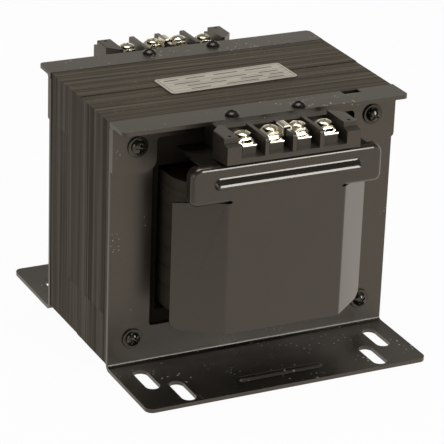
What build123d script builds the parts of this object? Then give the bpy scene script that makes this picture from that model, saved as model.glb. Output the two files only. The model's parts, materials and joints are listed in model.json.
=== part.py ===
"""Chassis mount transformer: an open, through-bolted control transformer.

A stack of E and I laminations stands upright with its coil on the centre leg. Two pressed
brackets close each end of the stack: a lower one that folds out into a slotted foot, and an
upper one that folds out into a terminal flange. A folded sheet covers each coil end, and a
four-way terminal block hangs under each flange.

Millimetres. +X runs along the width, +Y towards the back, +Z up. The origin is on the floor
under the middle of the stack. Each end piece is drawn at the front, where Y is negative, and
the rear one is the same piece turned half a turn about Z.
"""
import os
from math import atan2, cos, radians, sin, tan

from build123d import *

os.makedirs("parts", exist_ok=True)

# Core laminations
CENTRE_LEG = 57.15
OUTER_LEG = 28.575
WINDOW_WIDTH = 28.575
WINDOW_HEIGHT = 85.725
YOKE_HEIGHT = 28.575
STACK_DEPTH = 82.55
CORE_LIFT = 3.5
FRONT_PACKET = 3.4
MIDDLE_PACKET = 38.3
REAR_PACKET = 26.5
PACKET_STEP = 0.4
CORE_HOLE = 7.1
BOLT_EDGE = 14.29

# Coil on its tube
TUBE_CLEARANCE = 0.4
TUBE_WALL = 1.6
TUBE_CORNER = 2.0
TUBE_HEADROOM = 0.8
WINDING_MARGIN = 3.0
PRIMARY_SIDE = 11.0
PRIMARY_END = 14.5
PRIMARY_CORNER = 15.0
SECONDARY_SIDE = 10.6
SECONDARY_END = 14.0
SECONDARY_CORNER = 27.0
INSULATION = 0.8
WEDGE_LENGTH = 60.0
WEDGE_THICKNESS = 0.35

# Pressed brackets
SHEET = 2.3
BEND_RADIUS = 1.8
BRACKET_OVERHANG = 0.35
EDGE_BREAK = 0.35
FOOT_REACH = 57.4
FOOT_CORNER = 4.5
LOWER_LEG_WIDTH = 24.4
LOWER_LEG_SHORT = 3.4
SILL_DROP = 8.4
SILL_CORNER = 2.0
SLOT_WIDTH = 8.4
SLOT_LENGTH = 24.0
OUTER_SLOT_X = 71.8
OUTER_SLOT_OUT = 23.7
INNER_SLOT_X = 59.0
INNER_SLOT_OUT = 43.0
FOOT_BEAD_HALF_LENGTH = 26.5
FOOT_BEAD_OUT = 43.0
FOOT_BEAD_WIDTH = 6.0
FOOT_BEAD_HEIGHT = 1.4
FLANGE_REACH = 18.6
FLANGE_CORNER = 3.0
EAR_WIDTH = 25.6
EAR_HEIGHT = 29.8
EAR_INNER_CORNER = 7.0
EAR_OUTER_CORNER = 2.5
FLANGE_WEB = 10.7
WEB_CORNER = 2.5

# Bolts through the stack
BOLT_DIAMETER = 4.8
BOLT_HOLE = 5.4
BOLT_HEAD = 9.7
BOLT_HEAD_HEIGHT = 3.3
BOLT_NUT_FLATS = 9.5
BOLT_NUT_HEIGHT = 4.0
BOLT_TAIL = 2.0
WASHER_DIAMETER = 13.2
WASHER_THICKNESS = 1.1
BOLT_SPIN = (38.0, 12.0, 64.0, 25.0)

# Terminal block
TERMINALS = 4
PITCH = 16.3
BARRIER = 2.4
BARRIER_RISE = 1.1
BARRIER_BACK = 17.6
BARRIER_REACH = 41.4
BARRIER_NOSE = 1.6
BLOCK_LENGTH = 79.4
BLOCK_DEPTH = 41.6
BLOCK_HEIGHT = 13.7
BLOCK_SHOULDER = 6.3
BAR_LENGTH = 66.8
BAR_DEPTH = 17.5
END_RISE = 2.2
LEDGE_DEPTH = 4.6
LEDGE_DROP = 2.9
LEDGE_SLOPE = 1.0
UNDERCUT_START = 24.0
UNDERCUT = 2.3
BASE_STRIP = 2.8
PEDESTAL_WIDTH = 8.2
PEDESTAL_SETBACK = 5.2
PEDESTAL_HEIGHT = 4.4
POCKET_BACK = 18.0
MARK_HOLE = 1.9
MARK_HOLE_DEPTH = 3.0
MARK_HOLE_BACK = 7.0
MOULD_EDGE = 0.5
BLOCK_SCREW_X = 20.2
BLOCK_SCREW_OUT = 12.8
BLOCK_SCREW_BACK = 6.0
BLOCK_SCREW = 4.0
BLOCK_SCREW_HOLE = 4.6
BLOCK_SCREW_HEAD = 7.9
BLOCK_SCREW_HEAD_HEIGHT = 2.4
BLOCK_NUT_FLATS = 7.9
BLOCK_NUT_HEIGHT = 3.0
BLOCK_SCREW_TAIL = 1.2

# Terminal hardware
TERMINAL_OUT = 28.0
PLATE_THICKNESS = 1.0
PLATE_OVERHANG = 0.5
PLATE_NOSE = 0.7
TAIL_WIDTH = 5.0
TAIL_DROP = 4.4
TAIL_CLEARANCE = 0.15
SADDLE_WIDTH = 9.4
SADDLE_LENGTH = 9.6
SADDLE_THICKNESS = 1.3
SADDLE_ARCH = 1.0
SADDLE_LEG = 1.0
TERMINAL_HEAD = 8.2
TERMINAL_HEAD_HEIGHT = 2.4
TERMINAL_SCREW = 3.4
TERMINAL_SCREW_LENGTH = 8.5
TERMINAL_SCREW_CLEARANCE = 0.15
TERMINAL_SPIN = (20.0, 70.0, 130.0, 45.0)
LINK_WIDTH = 8.2
LINK_THICKNESS = 1.0
LINK_GAP = 0.6
RECESS_WIDTH = 1.1
RECESS_SHARE = 0.62
RECESS_DEPTH = 1.4
LEAD_DIAMETER = 3.0

# Cover over each coil end
COVER_SHEET = 1.6
COVER_OUT = 43.2
COVER_BEND = 2.6
CROSSBAR_WIDTH = 114.2
CROSSBAR_HEIGHT = 21.7
CROSSBAR_CORNER = 6.0
CROSSBAR_FOOT_CORNER = 4.0
CROSSBAR_RETURN = 5.0
RETURN_END = 50.0
STEM_WIDTH = 70.2
STEM_DROP = 0.5
WING_SLIT = 1.3
WING_REACH = 23.6
WING_FOLD_BACK = 20.4
WING_TOP_DROP = 2.7
WING_BOTTOM_DROP = 1.2
WING_CORNER = 5.0
RELIEF_WIDTH = 1.1
RELIEF_LENGTH = 5.2
LIP_WIDTH = 99.0
COVER_BEAD_LENGTH = 88.0
COVER_BEAD_HEIGHT = 6.5
COVER_BEAD_DROP = 9.9
COVER_BEAD_RISE = 3.1
COVER_BEAD_SLOPE = 3.0
COVER_BEAD_CREST = 1.0
COVER_BEAD_SAG = 0.75
COVER_BEAD_CREST_RADIUS = 0.45
COVER_BEAD_ROOT_RADIUS = 0.7
LIP_SLOT_CLEARANCE = 1.0

# Rating plate on top of the stack
PLATE_LENGTH = 79.0
PLATE_WIDTH = 24.0
PLATE_FOIL = 0.5
PLATE_CORNER = 2.2
PLATE_X = 2.2
PLATE_Y = -0.9
PLATE_TURN = 1.7

# Places that follow from the sizes above
CORE_WIDTH = CENTRE_LEG + 2 * (WINDOW_WIDTH + OUTER_LEG)
CORE_HEIGHT = WINDOW_HEIGHT + 2 * YOKE_HEIGHT
CORE_TOP = CORE_LIFT + CORE_HEIGHT
CORE_FACE = -STACK_DEPTH / 2
WINDOW_BOTTOM = CORE_LIFT + YOKE_HEIGHT
WINDOW_TOP = WINDOW_BOTTOM + WINDOW_HEIGHT
BOLT_X = CORE_WIDTH / 2 - BOLT_EDGE
BOLT_LOW = CORE_LIFT + BOLT_EDGE
BOLT_HIGH = CORE_TOP - BOLT_EDGE
LOWER_FACE = CORE_FACE - SHEET
UPPER_FACE = LOWER_FACE - SHEET
LOWER_LEG_TOP = CORE_TOP - LOWER_LEG_SHORT
LOWER_SILL = WINDOW_BOTTOM - SILL_DROP
EAR_BOTTOM = CORE_TOP - EAR_HEIGHT
FLANGE_UNDER = CORE_TOP - SHEET
BLOCK_SEAT = FLANGE_UNDER - BLOCK_HEIGHT
BLOCK_SCREW_Y = CORE_FACE - BLOCK_SCREW_OUT
BLOCK_BACK = BLOCK_SCREW_Y + BLOCK_SCREW_BACK
BLOCK_FRONT = BLOCK_BACK - BLOCK_DEPTH
FLOOR_TOP = BLOCK_SEAT + UNDERCUT + BASE_STRIP
PEDESTAL_TOP = FLOOR_TOP + PEDESTAL_HEIGHT
TERMINAL_Y = BLOCK_BACK - TERMINAL_OUT
TERMINAL_X = [(i - (TERMINALS - 1) / 2) * PITCH for i in range(TERMINALS)]
END_BLOCK_X = TERMINAL_X[-1] + (PITCH - BARRIER) / 2
PLATE_TOP = PEDESTAL_TOP + PLATE_THICKNESS
TAIL_Y = BLOCK_BACK - POCKET_BACK - PLATE_THICKNESS - TAIL_CLEARANCE
LIP_UNDER = BLOCK_SEAT - COVER_SHEET
LEAD_TOP = BLOCK_SEAT - TAIL_DROP
COVER_FACE = CORE_FACE - COVER_OUT
CROSSBAR_BOTTOM = BLOCK_SEAT - CROSSBAR_HEIGHT
WING_TOP = CROSSBAR_BOTTOM - WING_SLIT
STEM_BOTTOM = WINDOW_BOTTOM - STEM_DROP
COVER_BEAD_CENTRE = BLOCK_SEAT - COVER_BEAD_DROP
TUBE_BASE = WINDOW_BOTTOM
TUBE_TOP = WINDOW_TOP - TUBE_HEADROOM
WINDING_BASE = TUBE_BASE + WINDING_MARGIN
WINDING_TOP = TUBE_TOP - WINDING_MARGIN


def block(x0, x1, y0, y1, z0, z1):
    """A box between two corners."""
    return Pos((x0 + x1) / 2, (y0 + y1) / 2, (z0 + z1) / 2) * Box(abs(x1 - x0), abs(y1 - y0), abs(z1 - z0))


def along_x(profile, half_width):
    """Extrude a Y-Z outline evenly to both sides of X = 0."""
    return extrude(Plane.YZ * profile, half_width, both=True)


def drill_y(x, z, diameter, y0, y1):
    """A round tool along Y between two depths."""
    return Pos(x, (y0 + y1) / 2, z) * Rot(90, 0, 0) * Cylinder(diameter / 2, abs(y1 - y0))


def drill_z(x, y, diameter, z0, z1):
    """A round tool along Z between two heights."""
    return Pos(x, y, (z0 + z1) / 2) * Cylinder(diameter / 2, abs(z1 - z0))


def near(shape, x=None, y=None, z=None, tolerance=0.05, direction=None):
    """Edges whose middle lies at the given place, if a value is given, and along the direction."""
    found = []
    for edge in shape.edges():
        middle = edge.position_at(0.5)
        places = [(x, abs(middle.X)), (y, middle.Y), (z, middle.Z)]
        if any(want is not None and abs(want - have) > tolerance for want, have in places):
            continue
        if direction is not None:
            along = edge.tangent_at(0.5)
            if abs(abs(along.dot(direction)) - 1) > 1e-3:
                continue
        found.append(edge)
    return ShapeList(found)


def turned(shape):
    """The same piece at the other end of the stack."""
    return Rot(0, 0, 180) * shape


def group(solids):
    """Several separate solids kept in one node."""
    return Compound(children=[solid for shape in solids for solid in shape.solids()])


def core_packets():
    """Each packet's front and back, the drop of its sheets, and whether its I bar is on top."""
    first = CORE_FACE + FRONT_PACKET
    step = first + MIDDLE_PACKET
    last = -CORE_FACE - REAR_PACKET
    return [
        (CORE_FACE, first, PACKET_STEP, True),
        (first, step, PACKET_STEP, False),
        (step, last, 0.0, False),
        (last, -CORE_FACE, 0.0, True),
    ]


def lamination_packets():
    """The E sheets and the I bars of each packet, stacked alternately head up and head down."""
    e_packets = []
    i_packets = []
    for y0, y1, drop, bar_on_top in core_packets():
        half = CORE_WIDTH / 2
        whole = block(-half, half, y0, y1, CORE_LIFT - drop, CORE_TOP - drop)
        if bar_on_top:
            bar_space = block(-half, half, y0, y1, WINDOW_TOP - drop, CORE_TOP - drop)
        else:
            bar_space = block(-half, half, y0, y1, CORE_LIFT - drop, WINDOW_BOTTOM - drop)
        inner = CENTRE_LEG / 2
        outer = inner + WINDOW_WIDTH
        windows = [
            block(side * inner, side * outer, y0, y1, WINDOW_BOTTOM - drop, WINDOW_TOP - drop)
            for side in (-1, 1)
        ]
        holes = [
            drill_y(side * BOLT_X, z, CORE_HOLE, y0, y1)
            for side in (-1, 1)
            for z in (BOLT_LOW, BOLT_HIGH)
        ]
        e_packets.append(whole - bar_space - windows - holes)
        i_packets.append(bar_space - holes)
    return group(e_packets), group(i_packets)


def ring(inner_x, inner_y, inner_corner, outer_x, outer_y, outer_corner, z0, z1):
    """A rectangular turn of winding with round corners, given by its half sizes."""
    outline = RectangleRounded(2 * outer_x, 2 * outer_y, outer_corner)
    hole = RectangleRounded(2 * inner_x, 2 * inner_y, inner_corner)
    return Pos(0, 0, z0) * extrude(outline - hole, z1 - z0)


def coil():
    """The tube, both windings, the insulation between them and the outer wrap."""
    layers = {}
    x = CENTRE_LEG / 2 + TUBE_CLEARANCE
    y = STACK_DEPTH / 2 + TUBE_CLEARANCE
    corner = TUBE_CORNER / 2
    plan = [
        ("winding_tube", TUBE_WALL, TUBE_WALL, TUBE_CORNER, TUBE_BASE, TUBE_TOP),
        ("primary_winding", PRIMARY_SIDE, PRIMARY_END, PRIMARY_CORNER, WINDING_BASE, WINDING_TOP),
        ("winding_insulation", INSULATION, INSULATION, PRIMARY_CORNER + INSULATION, WINDING_BASE, WINDING_TOP),
        ("secondary_winding", SECONDARY_SIDE, SECONDARY_END, SECONDARY_CORNER, WINDING_BASE, WINDING_TOP),
        ("coil_wrap", INSULATION, INSULATION, SECONDARY_CORNER + INSULATION, WINDING_BASE, WINDING_TOP),
    ]
    for name, side, end, outer_corner, z0, z1 in plan:
        layers[name] = ring(x, y, corner, x + side, y + end, outer_corner, z0, z1)
        x += side
        y += end
        corner = outer_corner
    return layers


def coil_wedges():
    """Thin strips that take up the play between the centre leg and the tube."""
    inner = CENTRE_LEG / 2
    half = WEDGE_LENGTH / 2
    return group(
        block(side * inner, side * (inner + WEDGE_THICKNESS), -half, half, TUBE_BASE, TUBE_TOP)
        for side in (-1, 1)
    )


def bracket_outline(face, far_end, fold, reach_end, upward):
    """The Y-Z outline of a plate on the stack that folds out into a flange.

    face is the plate's inner side, far_end its free end, fold the flange's outer side and
    reach_end the flange's free end. upward is 1 where the plate rises from the flange.
    """
    outer = face - SHEET
    centre_y = outer - BEND_RADIUS
    centre_z = fold + upward * (SHEET + BEND_RADIUS)
    large = SHEET + BEND_RADIUS
    turn = cos(radians(45))
    with BuildLine() as edge:
        Line((face, far_end), (face, centre_z))
        ThreePointArc(
            (face, centre_z),
            (centre_y + large * turn, centre_z - upward * large * turn),
            (centre_y, fold),
        )
        Line((centre_y, fold), (reach_end, fold))
        Line((reach_end, fold), (reach_end, fold + upward * SHEET))
        Line((reach_end, fold + upward * SHEET), (centre_y, fold + upward * SHEET))
        ThreePointArc(
            (centre_y, fold + upward * SHEET),
            (centre_y + BEND_RADIUS * turn, centre_z - upward * BEND_RADIUS * turn),
            (outer, centre_z),
        )
        Line((outer, centre_z), (outer, far_end))
        Line((outer, far_end), (face, far_end))
    return make_face(edge.line)


def lower_bracket():
    """The lower bracket: two legs on the stack, a sill between them, and the slotted foot."""
    half = CORE_WIDTH / 2 + BRACKET_OVERHANG
    edge = CORE_FACE - FOOT_REACH
    body = along_x(bracket_outline(CORE_FACE, LOWER_LEG_TOP, 0, edge, 1), half)
    opening_half = CORE_WIDTH / 2 - LOWER_LEG_WIDTH
    opening = block(-opening_half, opening_half, CORE_FACE, LOWER_FACE, LOWER_SILL, LOWER_LEG_TOP)
    opening = fillet(near(opening, x=opening_half, z=LOWER_SILL, direction=Vector(0, 1, 0)), SILL_CORNER)
    body -= opening
    body = fillet(near(body, x=half, y=edge, direction=Vector(0, 0, 1)), FOOT_CORNER)
    for side in (-1, 1):
        for z in (BOLT_LOW, BOLT_HIGH):
            body -= drill_y(side * BOLT_X, z, BOLT_HOLE, CORE_FACE, LOWER_FACE)
        for x, out in ((OUTER_SLOT_X, OUTER_SLOT_OUT), (INNER_SLOT_X, INNER_SLOT_OUT)):
            slot = Rot(0, 0, 90) * SlotOverall(SLOT_LENGTH, SLOT_WIDTH)
            body -= Pos(side * x, CORE_FACE - out, 0) * extrude(slot, SHEET)
    bead_y = CORE_FACE - FOOT_BEAD_OUT
    body += bead(FOOT_BEAD_HALF_LENGTH, FOOT_BEAD_WIDTH / 2, FOOT_BEAD_HEIGHT, bead_y, SHEET)
    body -= bead(FOOT_BEAD_HALF_LENGTH - SHEET / 2, (FOOT_BEAD_WIDTH - SHEET) / 2, FOOT_BEAD_HEIGHT, bead_y, 0)
    return body


def bead(half_length, half_width, rise, y, z):
    """A low pressed bead along X with rounded ends and a rounded back, standing on height z."""
    radius = (half_width**2 + rise**2) / (2 * rise)
    sunk = radius - rise
    run = half_length - half_width
    body = Rot(0, 90, 0) * Cylinder(radius, 2 * run)
    body += [Pos(side * run, 0, 0) * Sphere(radius) for side in (-1, 1)]
    body = Pos(0, y, z - sunk) * body
    return body & block(-2 * half_length, 2 * half_length, y - radius, y + radius, z, z + rise)


def upper_bracket():
    """The upper bracket: two ears over the lower legs, a web between them, and the flange."""
    half = CORE_WIDTH / 2 + BRACKET_OVERHANG
    edge = CORE_FACE - FLANGE_REACH
    body = along_x(bracket_outline(LOWER_FACE, EAR_BOTTOM, CORE_TOP, edge, -1), half)
    opening_half = CORE_WIDTH / 2 - EAR_WIDTH
    web_bottom = CORE_TOP - FLANGE_WEB
    opening = block(-opening_half, opening_half, LOWER_FACE, UPPER_FACE, EAR_BOTTOM, web_bottom)
    opening = fillet(near(opening, x=opening_half, z=web_bottom, direction=Vector(0, 1, 0)), WEB_CORNER)
    body -= opening
    across = Vector(0, 1, 0)
    body = fillet(near(body, x=opening_half, z=EAR_BOTTOM, direction=across), EAR_INNER_CORNER)
    body = fillet(near(body, x=half, z=EAR_BOTTOM, direction=across), EAR_OUTER_CORNER)
    body = fillet(near(body, x=half, y=edge, direction=Vector(0, 0, 1)), FLANGE_CORNER)
    for side in (-1, 1):
        body -= drill_y(side * BOLT_X, BOLT_HIGH, BOLT_HOLE, LOWER_FACE, UPPER_FACE)
        body -= drill_z(side * BLOCK_SCREW_X, BLOCK_SCREW_Y, BLOCK_SCREW_HOLE, FLANGE_UNDER, CORE_TOP)
    return body


def pan_screw(head, height, shank, length, spin):
    """A pan-head screw with a combined cross and slot, its seat at Z = 0 and its shank downwards."""
    body = Cylinder(head / 2, height, align=(Align.CENTER, Align.CENTER, Align.MIN))
    body = fillet(body.edges().filter_by(GeomType.CIRCLE).sort_by(Axis.Z)[-1], height * 0.55)
    arm = head * RECESS_SHARE
    for turn in (spin, spin + 90):
        tool = Box(arm, RECESS_WIDTH, RECESS_DEPTH, align=(Align.CENTER, Align.CENTER, Align.MAX))
        body -= Pos(0, 0, height) * Rot(0, 0, turn) * tool
    return body + Cylinder(shank / 2, length, align=(Align.CENTER, Align.CENTER, Align.MAX))


def hex_nut(flats, height, hole):
    """A plain nut standing on Z = 0."""
    outline = RegularPolygon(flats / 2, 6, major_radius=False) - Circle(hole / 2)
    return extrude(outline, height)


def facing_front(x, y, z, shape):
    """Turn a piece drawn along Z so that it points out of the front, and place it."""
    return Pos(x, y, z) * Rot(90, 0, 0) * shape


def bolt_places():
    """Each bolt's X and Z, the front and back seats of its washers, and its turn."""
    spins = iter(BOLT_SPIN)
    return [
        (side * BOLT_X, z, seat, next(spins))
        for z, seat in ((BOLT_LOW, LOWER_FACE), (BOLT_HIGH, UPPER_FACE))
        for side in (-1, 1)
    ]


def stack_fasteners():
    """The four long screws, a washer at each end of each, and their nuts at the back."""
    bolts, washers, nuts = [], [], []
    washer = Cylinder(WASHER_DIAMETER / 2, WASHER_THICKNESS) - Cylinder(BOLT_HOLE / 2, WASHER_THICKNESS)
    washer = fillet(washer.edges().filter_by(GeomType.CIRCLE).sort_by(SortBy.RADIUS)[-2:], EDGE_BREAK)
    for x, z, seat, spin in bolt_places():
        head_seat = seat - WASHER_THICKNESS
        length = 2 * -head_seat + BOLT_NUT_HEIGHT + BOLT_TAIL
        bolt = pan_screw(BOLT_HEAD, BOLT_HEAD_HEIGHT, BOLT_DIAMETER, length, spin)
        bolts.append(facing_front(x, head_seat, z, bolt))
        for end in (-1, 1):
            middle = end * (-seat + WASHER_THICKNESS / 2)
            washers.append(facing_front(x, middle, z, washer))
        nut = hex_nut(BOLT_NUT_FLATS, BOLT_NUT_HEIGHT, BOLT_DIAMETER)
        nuts.append(facing_front(x, -head_seat + BOLT_NUT_HEIGHT, z, nut))
    return {"core_bolts": group(bolts), "core_washers": group(washers), "core_nuts": group(nuts)}


def block_plan():
    """The terminal block seen from above: a wide front with cut shoulders and a bar behind."""
    half = BLOCK_LENGTH / 2
    bar_half = BAR_LENGTH / 2
    shoulder_y = BLOCK_BACK - BAR_DEPTH
    corners = [
        (-half, BLOCK_FRONT), (half, BLOCK_FRONT), (half, shoulder_y - BLOCK_SHOULDER),
        (bar_half, shoulder_y), (bar_half, BLOCK_BACK), (-bar_half, BLOCK_BACK),
        (-bar_half, shoulder_y), (-half, shoulder_y - BLOCK_SHOULDER),
    ]
    return make_face(Polyline(*corners, close=True))


def end_block_profile():
    """The Y-Z outline that the block's ends keep: a riser, a sloping ledge and a cut underside."""
    top = FLANGE_UNDER + END_RISE
    riser_y = BLOCK_FRONT + LEDGE_DEPTH
    corners = [
        (BLOCK_BACK, BLOCK_SEAT), (BLOCK_BACK - UNDERCUT_START, BLOCK_SEAT),
        (BLOCK_FRONT, BLOCK_SEAT + UNDERCUT), (BLOCK_FRONT, top - LEDGE_DROP - LEDGE_SLOPE),
        (riser_y, top - LEDGE_DROP), (riser_y, top), (BLOCK_BACK, top),
    ]
    return make_face(Polyline(*corners, close=True))


def terminal_block():
    """The moulded block: a bar under the flange, end blocks, barriers and a pedestal for each way."""
    top = FLANGE_UNDER + END_RISE
    half = BLOCK_LENGTH / 2
    shoulder_y = BLOCK_BACK - BAR_DEPTH
    pocket_y = BLOCK_BACK - POCKET_BACK
    body = Pos(0, 0, BLOCK_SEAT) * extrude(block_plan(), top - BLOCK_SEAT)
    body &= along_x(end_block_profile(), half)
    body -= block(-half, half, shoulder_y, BLOCK_BACK, FLANGE_UNDER, top)
    body -= block(-END_BLOCK_X, END_BLOCK_X, BLOCK_FRONT, pocket_y, FLOOR_TOP, top)
    body -= block(-END_BLOCK_X, END_BLOCK_X, pocket_y, shoulder_y, FLANGE_UNDER, top)
    outer_edges = near(body, x=half, z=top, direction=Vector(0, 1, 0))
    body = fillet(outer_edges, MOULD_EDGE)
    pedestal_front = BLOCK_FRONT + PEDESTAL_SETBACK
    for x in TERMINAL_X:
        pedestal = block(
            x - PEDESTAL_WIDTH / 2, x + PEDESTAL_WIDTH / 2, pedestal_front, pocket_y, FLOOR_TOP, PEDESTAL_TOP
        )
        body += pedestal
    for left, right in zip(TERMINAL_X, TERMINAL_X[1:]):
        body += barrier((left + right) / 2)
    for x in TERMINAL_X:
        tail_half = TAIL_WIDTH / 2 + TAIL_CLEARANCE
        body -= block(
            x - tail_half, x + tail_half, TAIL_Y - TAIL_CLEARANCE, pocket_y, BLOCK_SEAT, PEDESTAL_TOP
        )
        bore = TERMINAL_SCREW + 2 * TERMINAL_SCREW_CLEARANCE
        body -= drill_z(x, TERMINAL_Y, bore, PLATE_TOP - TERMINAL_SCREW_LENGTH, PEDESTAL_TOP)
    for side in (-1, 1):
        body -= drill_z(side * BLOCK_SCREW_X, BLOCK_SCREW_Y, BLOCK_SCREW_HOLE, BLOCK_SEAT, FLANGE_UNDER)
        mark_x = side * (END_BLOCK_X + half) / 2
        body -= drill_z(mark_x, BLOCK_FRONT + MARK_HOLE_BACK, MARK_HOLE, top - MARK_HOLE_DEPTH, top)
    return body


def barrier(x):
    """One wall between two ways, with a rounded nose."""
    ridge = FLANGE_UNDER + BARRIER_RISE
    back = BLOCK_BACK - BARRIER_BACK
    front = BLOCK_BACK - BARRIER_REACH
    wall = block(x - BARRIER / 2, x + BARRIER / 2, front, back, FLOOR_TOP, ridge)
    nose = near(wall, y=front, z=ridge, direction=Vector(1, 0, 0))
    return fillet(nose, BARRIER_NOSE)


def terminal_plate(x):
    """A plated strip on its pedestal, with a tail that goes down through the block."""
    half = PEDESTAL_WIDTH / 2
    front = BLOCK_FRONT + PEDESTAL_SETBACK - PLATE_OVERHANG
    back = TAIL_Y + PLATE_THICKNESS
    strip = block(x - half, x + half, front, back, PEDESTAL_TOP, PLATE_TOP)
    strip = fillet(near(strip, y=front, z=PLATE_TOP, direction=Vector(1, 0, 0)), PLATE_NOSE)
    strip += block(x - TAIL_WIDTH / 2, x + TAIL_WIDTH / 2, TAIL_Y, back, LEAD_TOP, PEDESTAL_TOP)
    return strip - drill_z(x, TERMINAL_Y, TERMINAL_SCREW, PEDESTAL_TOP, PLATE_TOP)


def clamp_saddle(x):
    """An arched square washer that holds a wire on each side of the screw."""
    half = SADDLE_WIDTH / 2
    under = PLATE_TOP + SADDLE_ARCH
    corners = [
        (-half, PLATE_TOP), (-half + SADDLE_LEG, PLATE_TOP), (-half + SADDLE_LEG + SADDLE_ARCH, under),
        (half - SADDLE_LEG - SADDLE_ARCH, under), (half - SADDLE_LEG, PLATE_TOP), (half, PLATE_TOP),
        (half, PLATE_TOP + SADDLE_THICKNESS - SADDLE_ARCH), (half - SADDLE_ARCH, PLATE_TOP + SADDLE_THICKNESS),
        (half - SADDLE_LEG - SADDLE_ARCH, under + SADDLE_THICKNESS),
        (-half + SADDLE_LEG + SADDLE_ARCH, under + SADDLE_THICKNESS),
        (-half + SADDLE_ARCH, PLATE_TOP + SADDLE_THICKNESS), (-half, PLATE_TOP + SADDLE_THICKNESS - SADDLE_ARCH),
    ]
    outline = make_face(Polyline(*corners, close=True))
    saddle = Pos(x, TERMINAL_Y, 0) * extrude(Plane.XZ * outline, SADDLE_LENGTH / 2, both=True)
    hole = TERMINAL_SCREW + 2 * TERMINAL_SCREW_CLEARANCE
    return saddle - drill_z(x, TERMINAL_Y, hole, PLATE_TOP, under + SADDLE_THICKNESS)


def link_ways():
    """The two middle ways, which the link joins."""
    middle = TERMINALS // 2
    return TERMINAL_X[middle - 1], TERMINAL_X[middle]


def terminal_link():
    """A bright strap bent over the middle barrier, with a foot under each of two screws."""
    left, right = link_ways()
    centre = (left + right) / 2
    inner = BARRIER / 2 + LINK_GAP
    crown = FLANGE_UNDER + BARRIER_RISE + LINK_GAP
    foot_end = (right - left) / 2 + SADDLE_WIDTH / 2
    arch = block(-inner - LINK_THICKNESS, inner + LINK_THICKNESS, 0, 1, PLATE_TOP, crown + LINK_THICKNESS)
    corners = [
        (-foot_end, PLATE_TOP), (-inner, PLATE_TOP), (-inner, crown), (inner, crown), (inner, PLATE_TOP),
        (foot_end, PLATE_TOP), (foot_end, PLATE_TOP + LINK_THICKNESS),
        (inner + LINK_THICKNESS, PLATE_TOP + LINK_THICKNESS), (inner + LINK_THICKNESS, crown + LINK_THICKNESS),
        (-inner - LINK_THICKNESS, crown + LINK_THICKNESS),
        (-inner - LINK_THICKNESS, PLATE_TOP + LINK_THICKNESS), (-foot_end, PLATE_TOP + LINK_THICKNESS),
    ]
    outline = make_face(Polyline(*corners, close=True))
    link = Pos(centre, TERMINAL_Y, 0) * extrude(Plane.XZ * outline, LINK_WIDTH / 2, both=True)
    across = Vector(0, 1, 0)
    link = fillet(near(link, z=crown + LINK_THICKNESS, direction=across), inner)
    hole = TERMINAL_SCREW + 2 * TERMINAL_SCREW_CLEARANCE
    for x in (left, right):
        link -= drill_z(x, TERMINAL_Y, hole, PLATE_TOP, PLATE_TOP + LINK_THICKNESS)
    return link


def terminal_hardware():
    """Plates, saddles, screws, the link and the leads of one block."""
    linked = link_ways()
    plates = [terminal_plate(x) for x in TERMINAL_X]
    raised = {x: LINK_THICKNESS if x in linked else 0.0 for x in TERMINAL_X}
    saddles = [Pos(0, 0, raised[x]) * clamp_saddle(x) for x in TERMINAL_X]
    screws = []
    for x, spin in zip(TERMINAL_X, TERMINAL_SPIN):
        stack = raised[x] + SADDLE_ARCH + SADDLE_THICKNESS
        length = TERMINAL_SCREW_LENGTH - TERMINAL_SCREW_CLEARANCE + stack
        screw = pan_screw(TERMINAL_HEAD, TERMINAL_HEAD_HEIGHT, TERMINAL_SCREW, length, spin)
        screws.append(Pos(x, TERMINAL_Y, PLATE_TOP + stack) * screw)
    lead_y = TAIL_Y + PLATE_THICKNESS / 2
    leads = [drill_z(x, lead_y, LEAD_DIAMETER, WINDING_TOP, LEAD_TOP) for x in TERMINAL_X]
    return {
        "terminal_plates": group(plates),
        "clamp_saddles": group(saddles),
        "terminal_screws": group(screws),
        "terminal_link": terminal_link(),
        "coil_leads": group(leads),
    }


def block_fasteners():
    """The two screws that hold a block and a cover under the flange, and their nuts."""
    length = SHEET + BLOCK_HEIGHT + COVER_SHEET + BLOCK_NUT_HEIGHT + BLOCK_SCREW_TAIL
    screws, nuts = [], []
    for side in (-1, 1):
        screw = pan_screw(BLOCK_SCREW_HEAD, BLOCK_SCREW_HEAD_HEIGHT, BLOCK_SCREW, length, side * 30)
        screws.append(Pos(side * BLOCK_SCREW_X, BLOCK_SCREW_Y, CORE_TOP) * screw)
        nut = hex_nut(BLOCK_NUT_FLATS, BLOCK_NUT_HEIGHT, BLOCK_SCREW)
        nuts.append(Pos(side * BLOCK_SCREW_X, BLOCK_SCREW_Y, LIP_UNDER - BLOCK_NUT_HEIGHT) * nut)
    return {"block_screws": group(screws), "block_nuts": group(nuts)}


def crossbar():
    """The cover's upper bar: a shallow pressed pan that is open at the back."""
    bottom, top = CROSSBAR_BOTTOM, BLOCK_SEAT
    height = top - bottom
    back = COVER_FACE + CROSSBAR_RETURN
    pan = crossbar_form(CROSSBAR_WIDTH, bottom, top, COVER_FACE, back, 0)
    pan -= crossbar_form(CROSSBAR_WIDTH, bottom, top, COVER_FACE, back + 1, COVER_SHEET)
    inside = COVER_FACE + COVER_SHEET
    pan -= block(-RETURN_END, RETURN_END, inside, back, bottom, bottom + height / 2)
    return pan


def crossbar_form(width, bottom, top, front, back, inset):
    """The crossbar's outer form, or its hollow where inset is the sheet's thickness."""
    half = width / 2 - inset
    form = block(-half, half, front + inset, back, bottom + inset, top - inset)
    along = Vector(0, 1, 0)
    form = fillet(near(form, x=half, z=top - inset, direction=along), CROSSBAR_CORNER - inset)
    form = fillet(near(form, x=half, z=bottom + inset, direction=along), CROSSBAR_FOOT_CORNER - inset)
    face = form.faces().sort_by(Axis.Y)[0]
    return fillet(face.edges(), COVER_BEND - inset)


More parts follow.
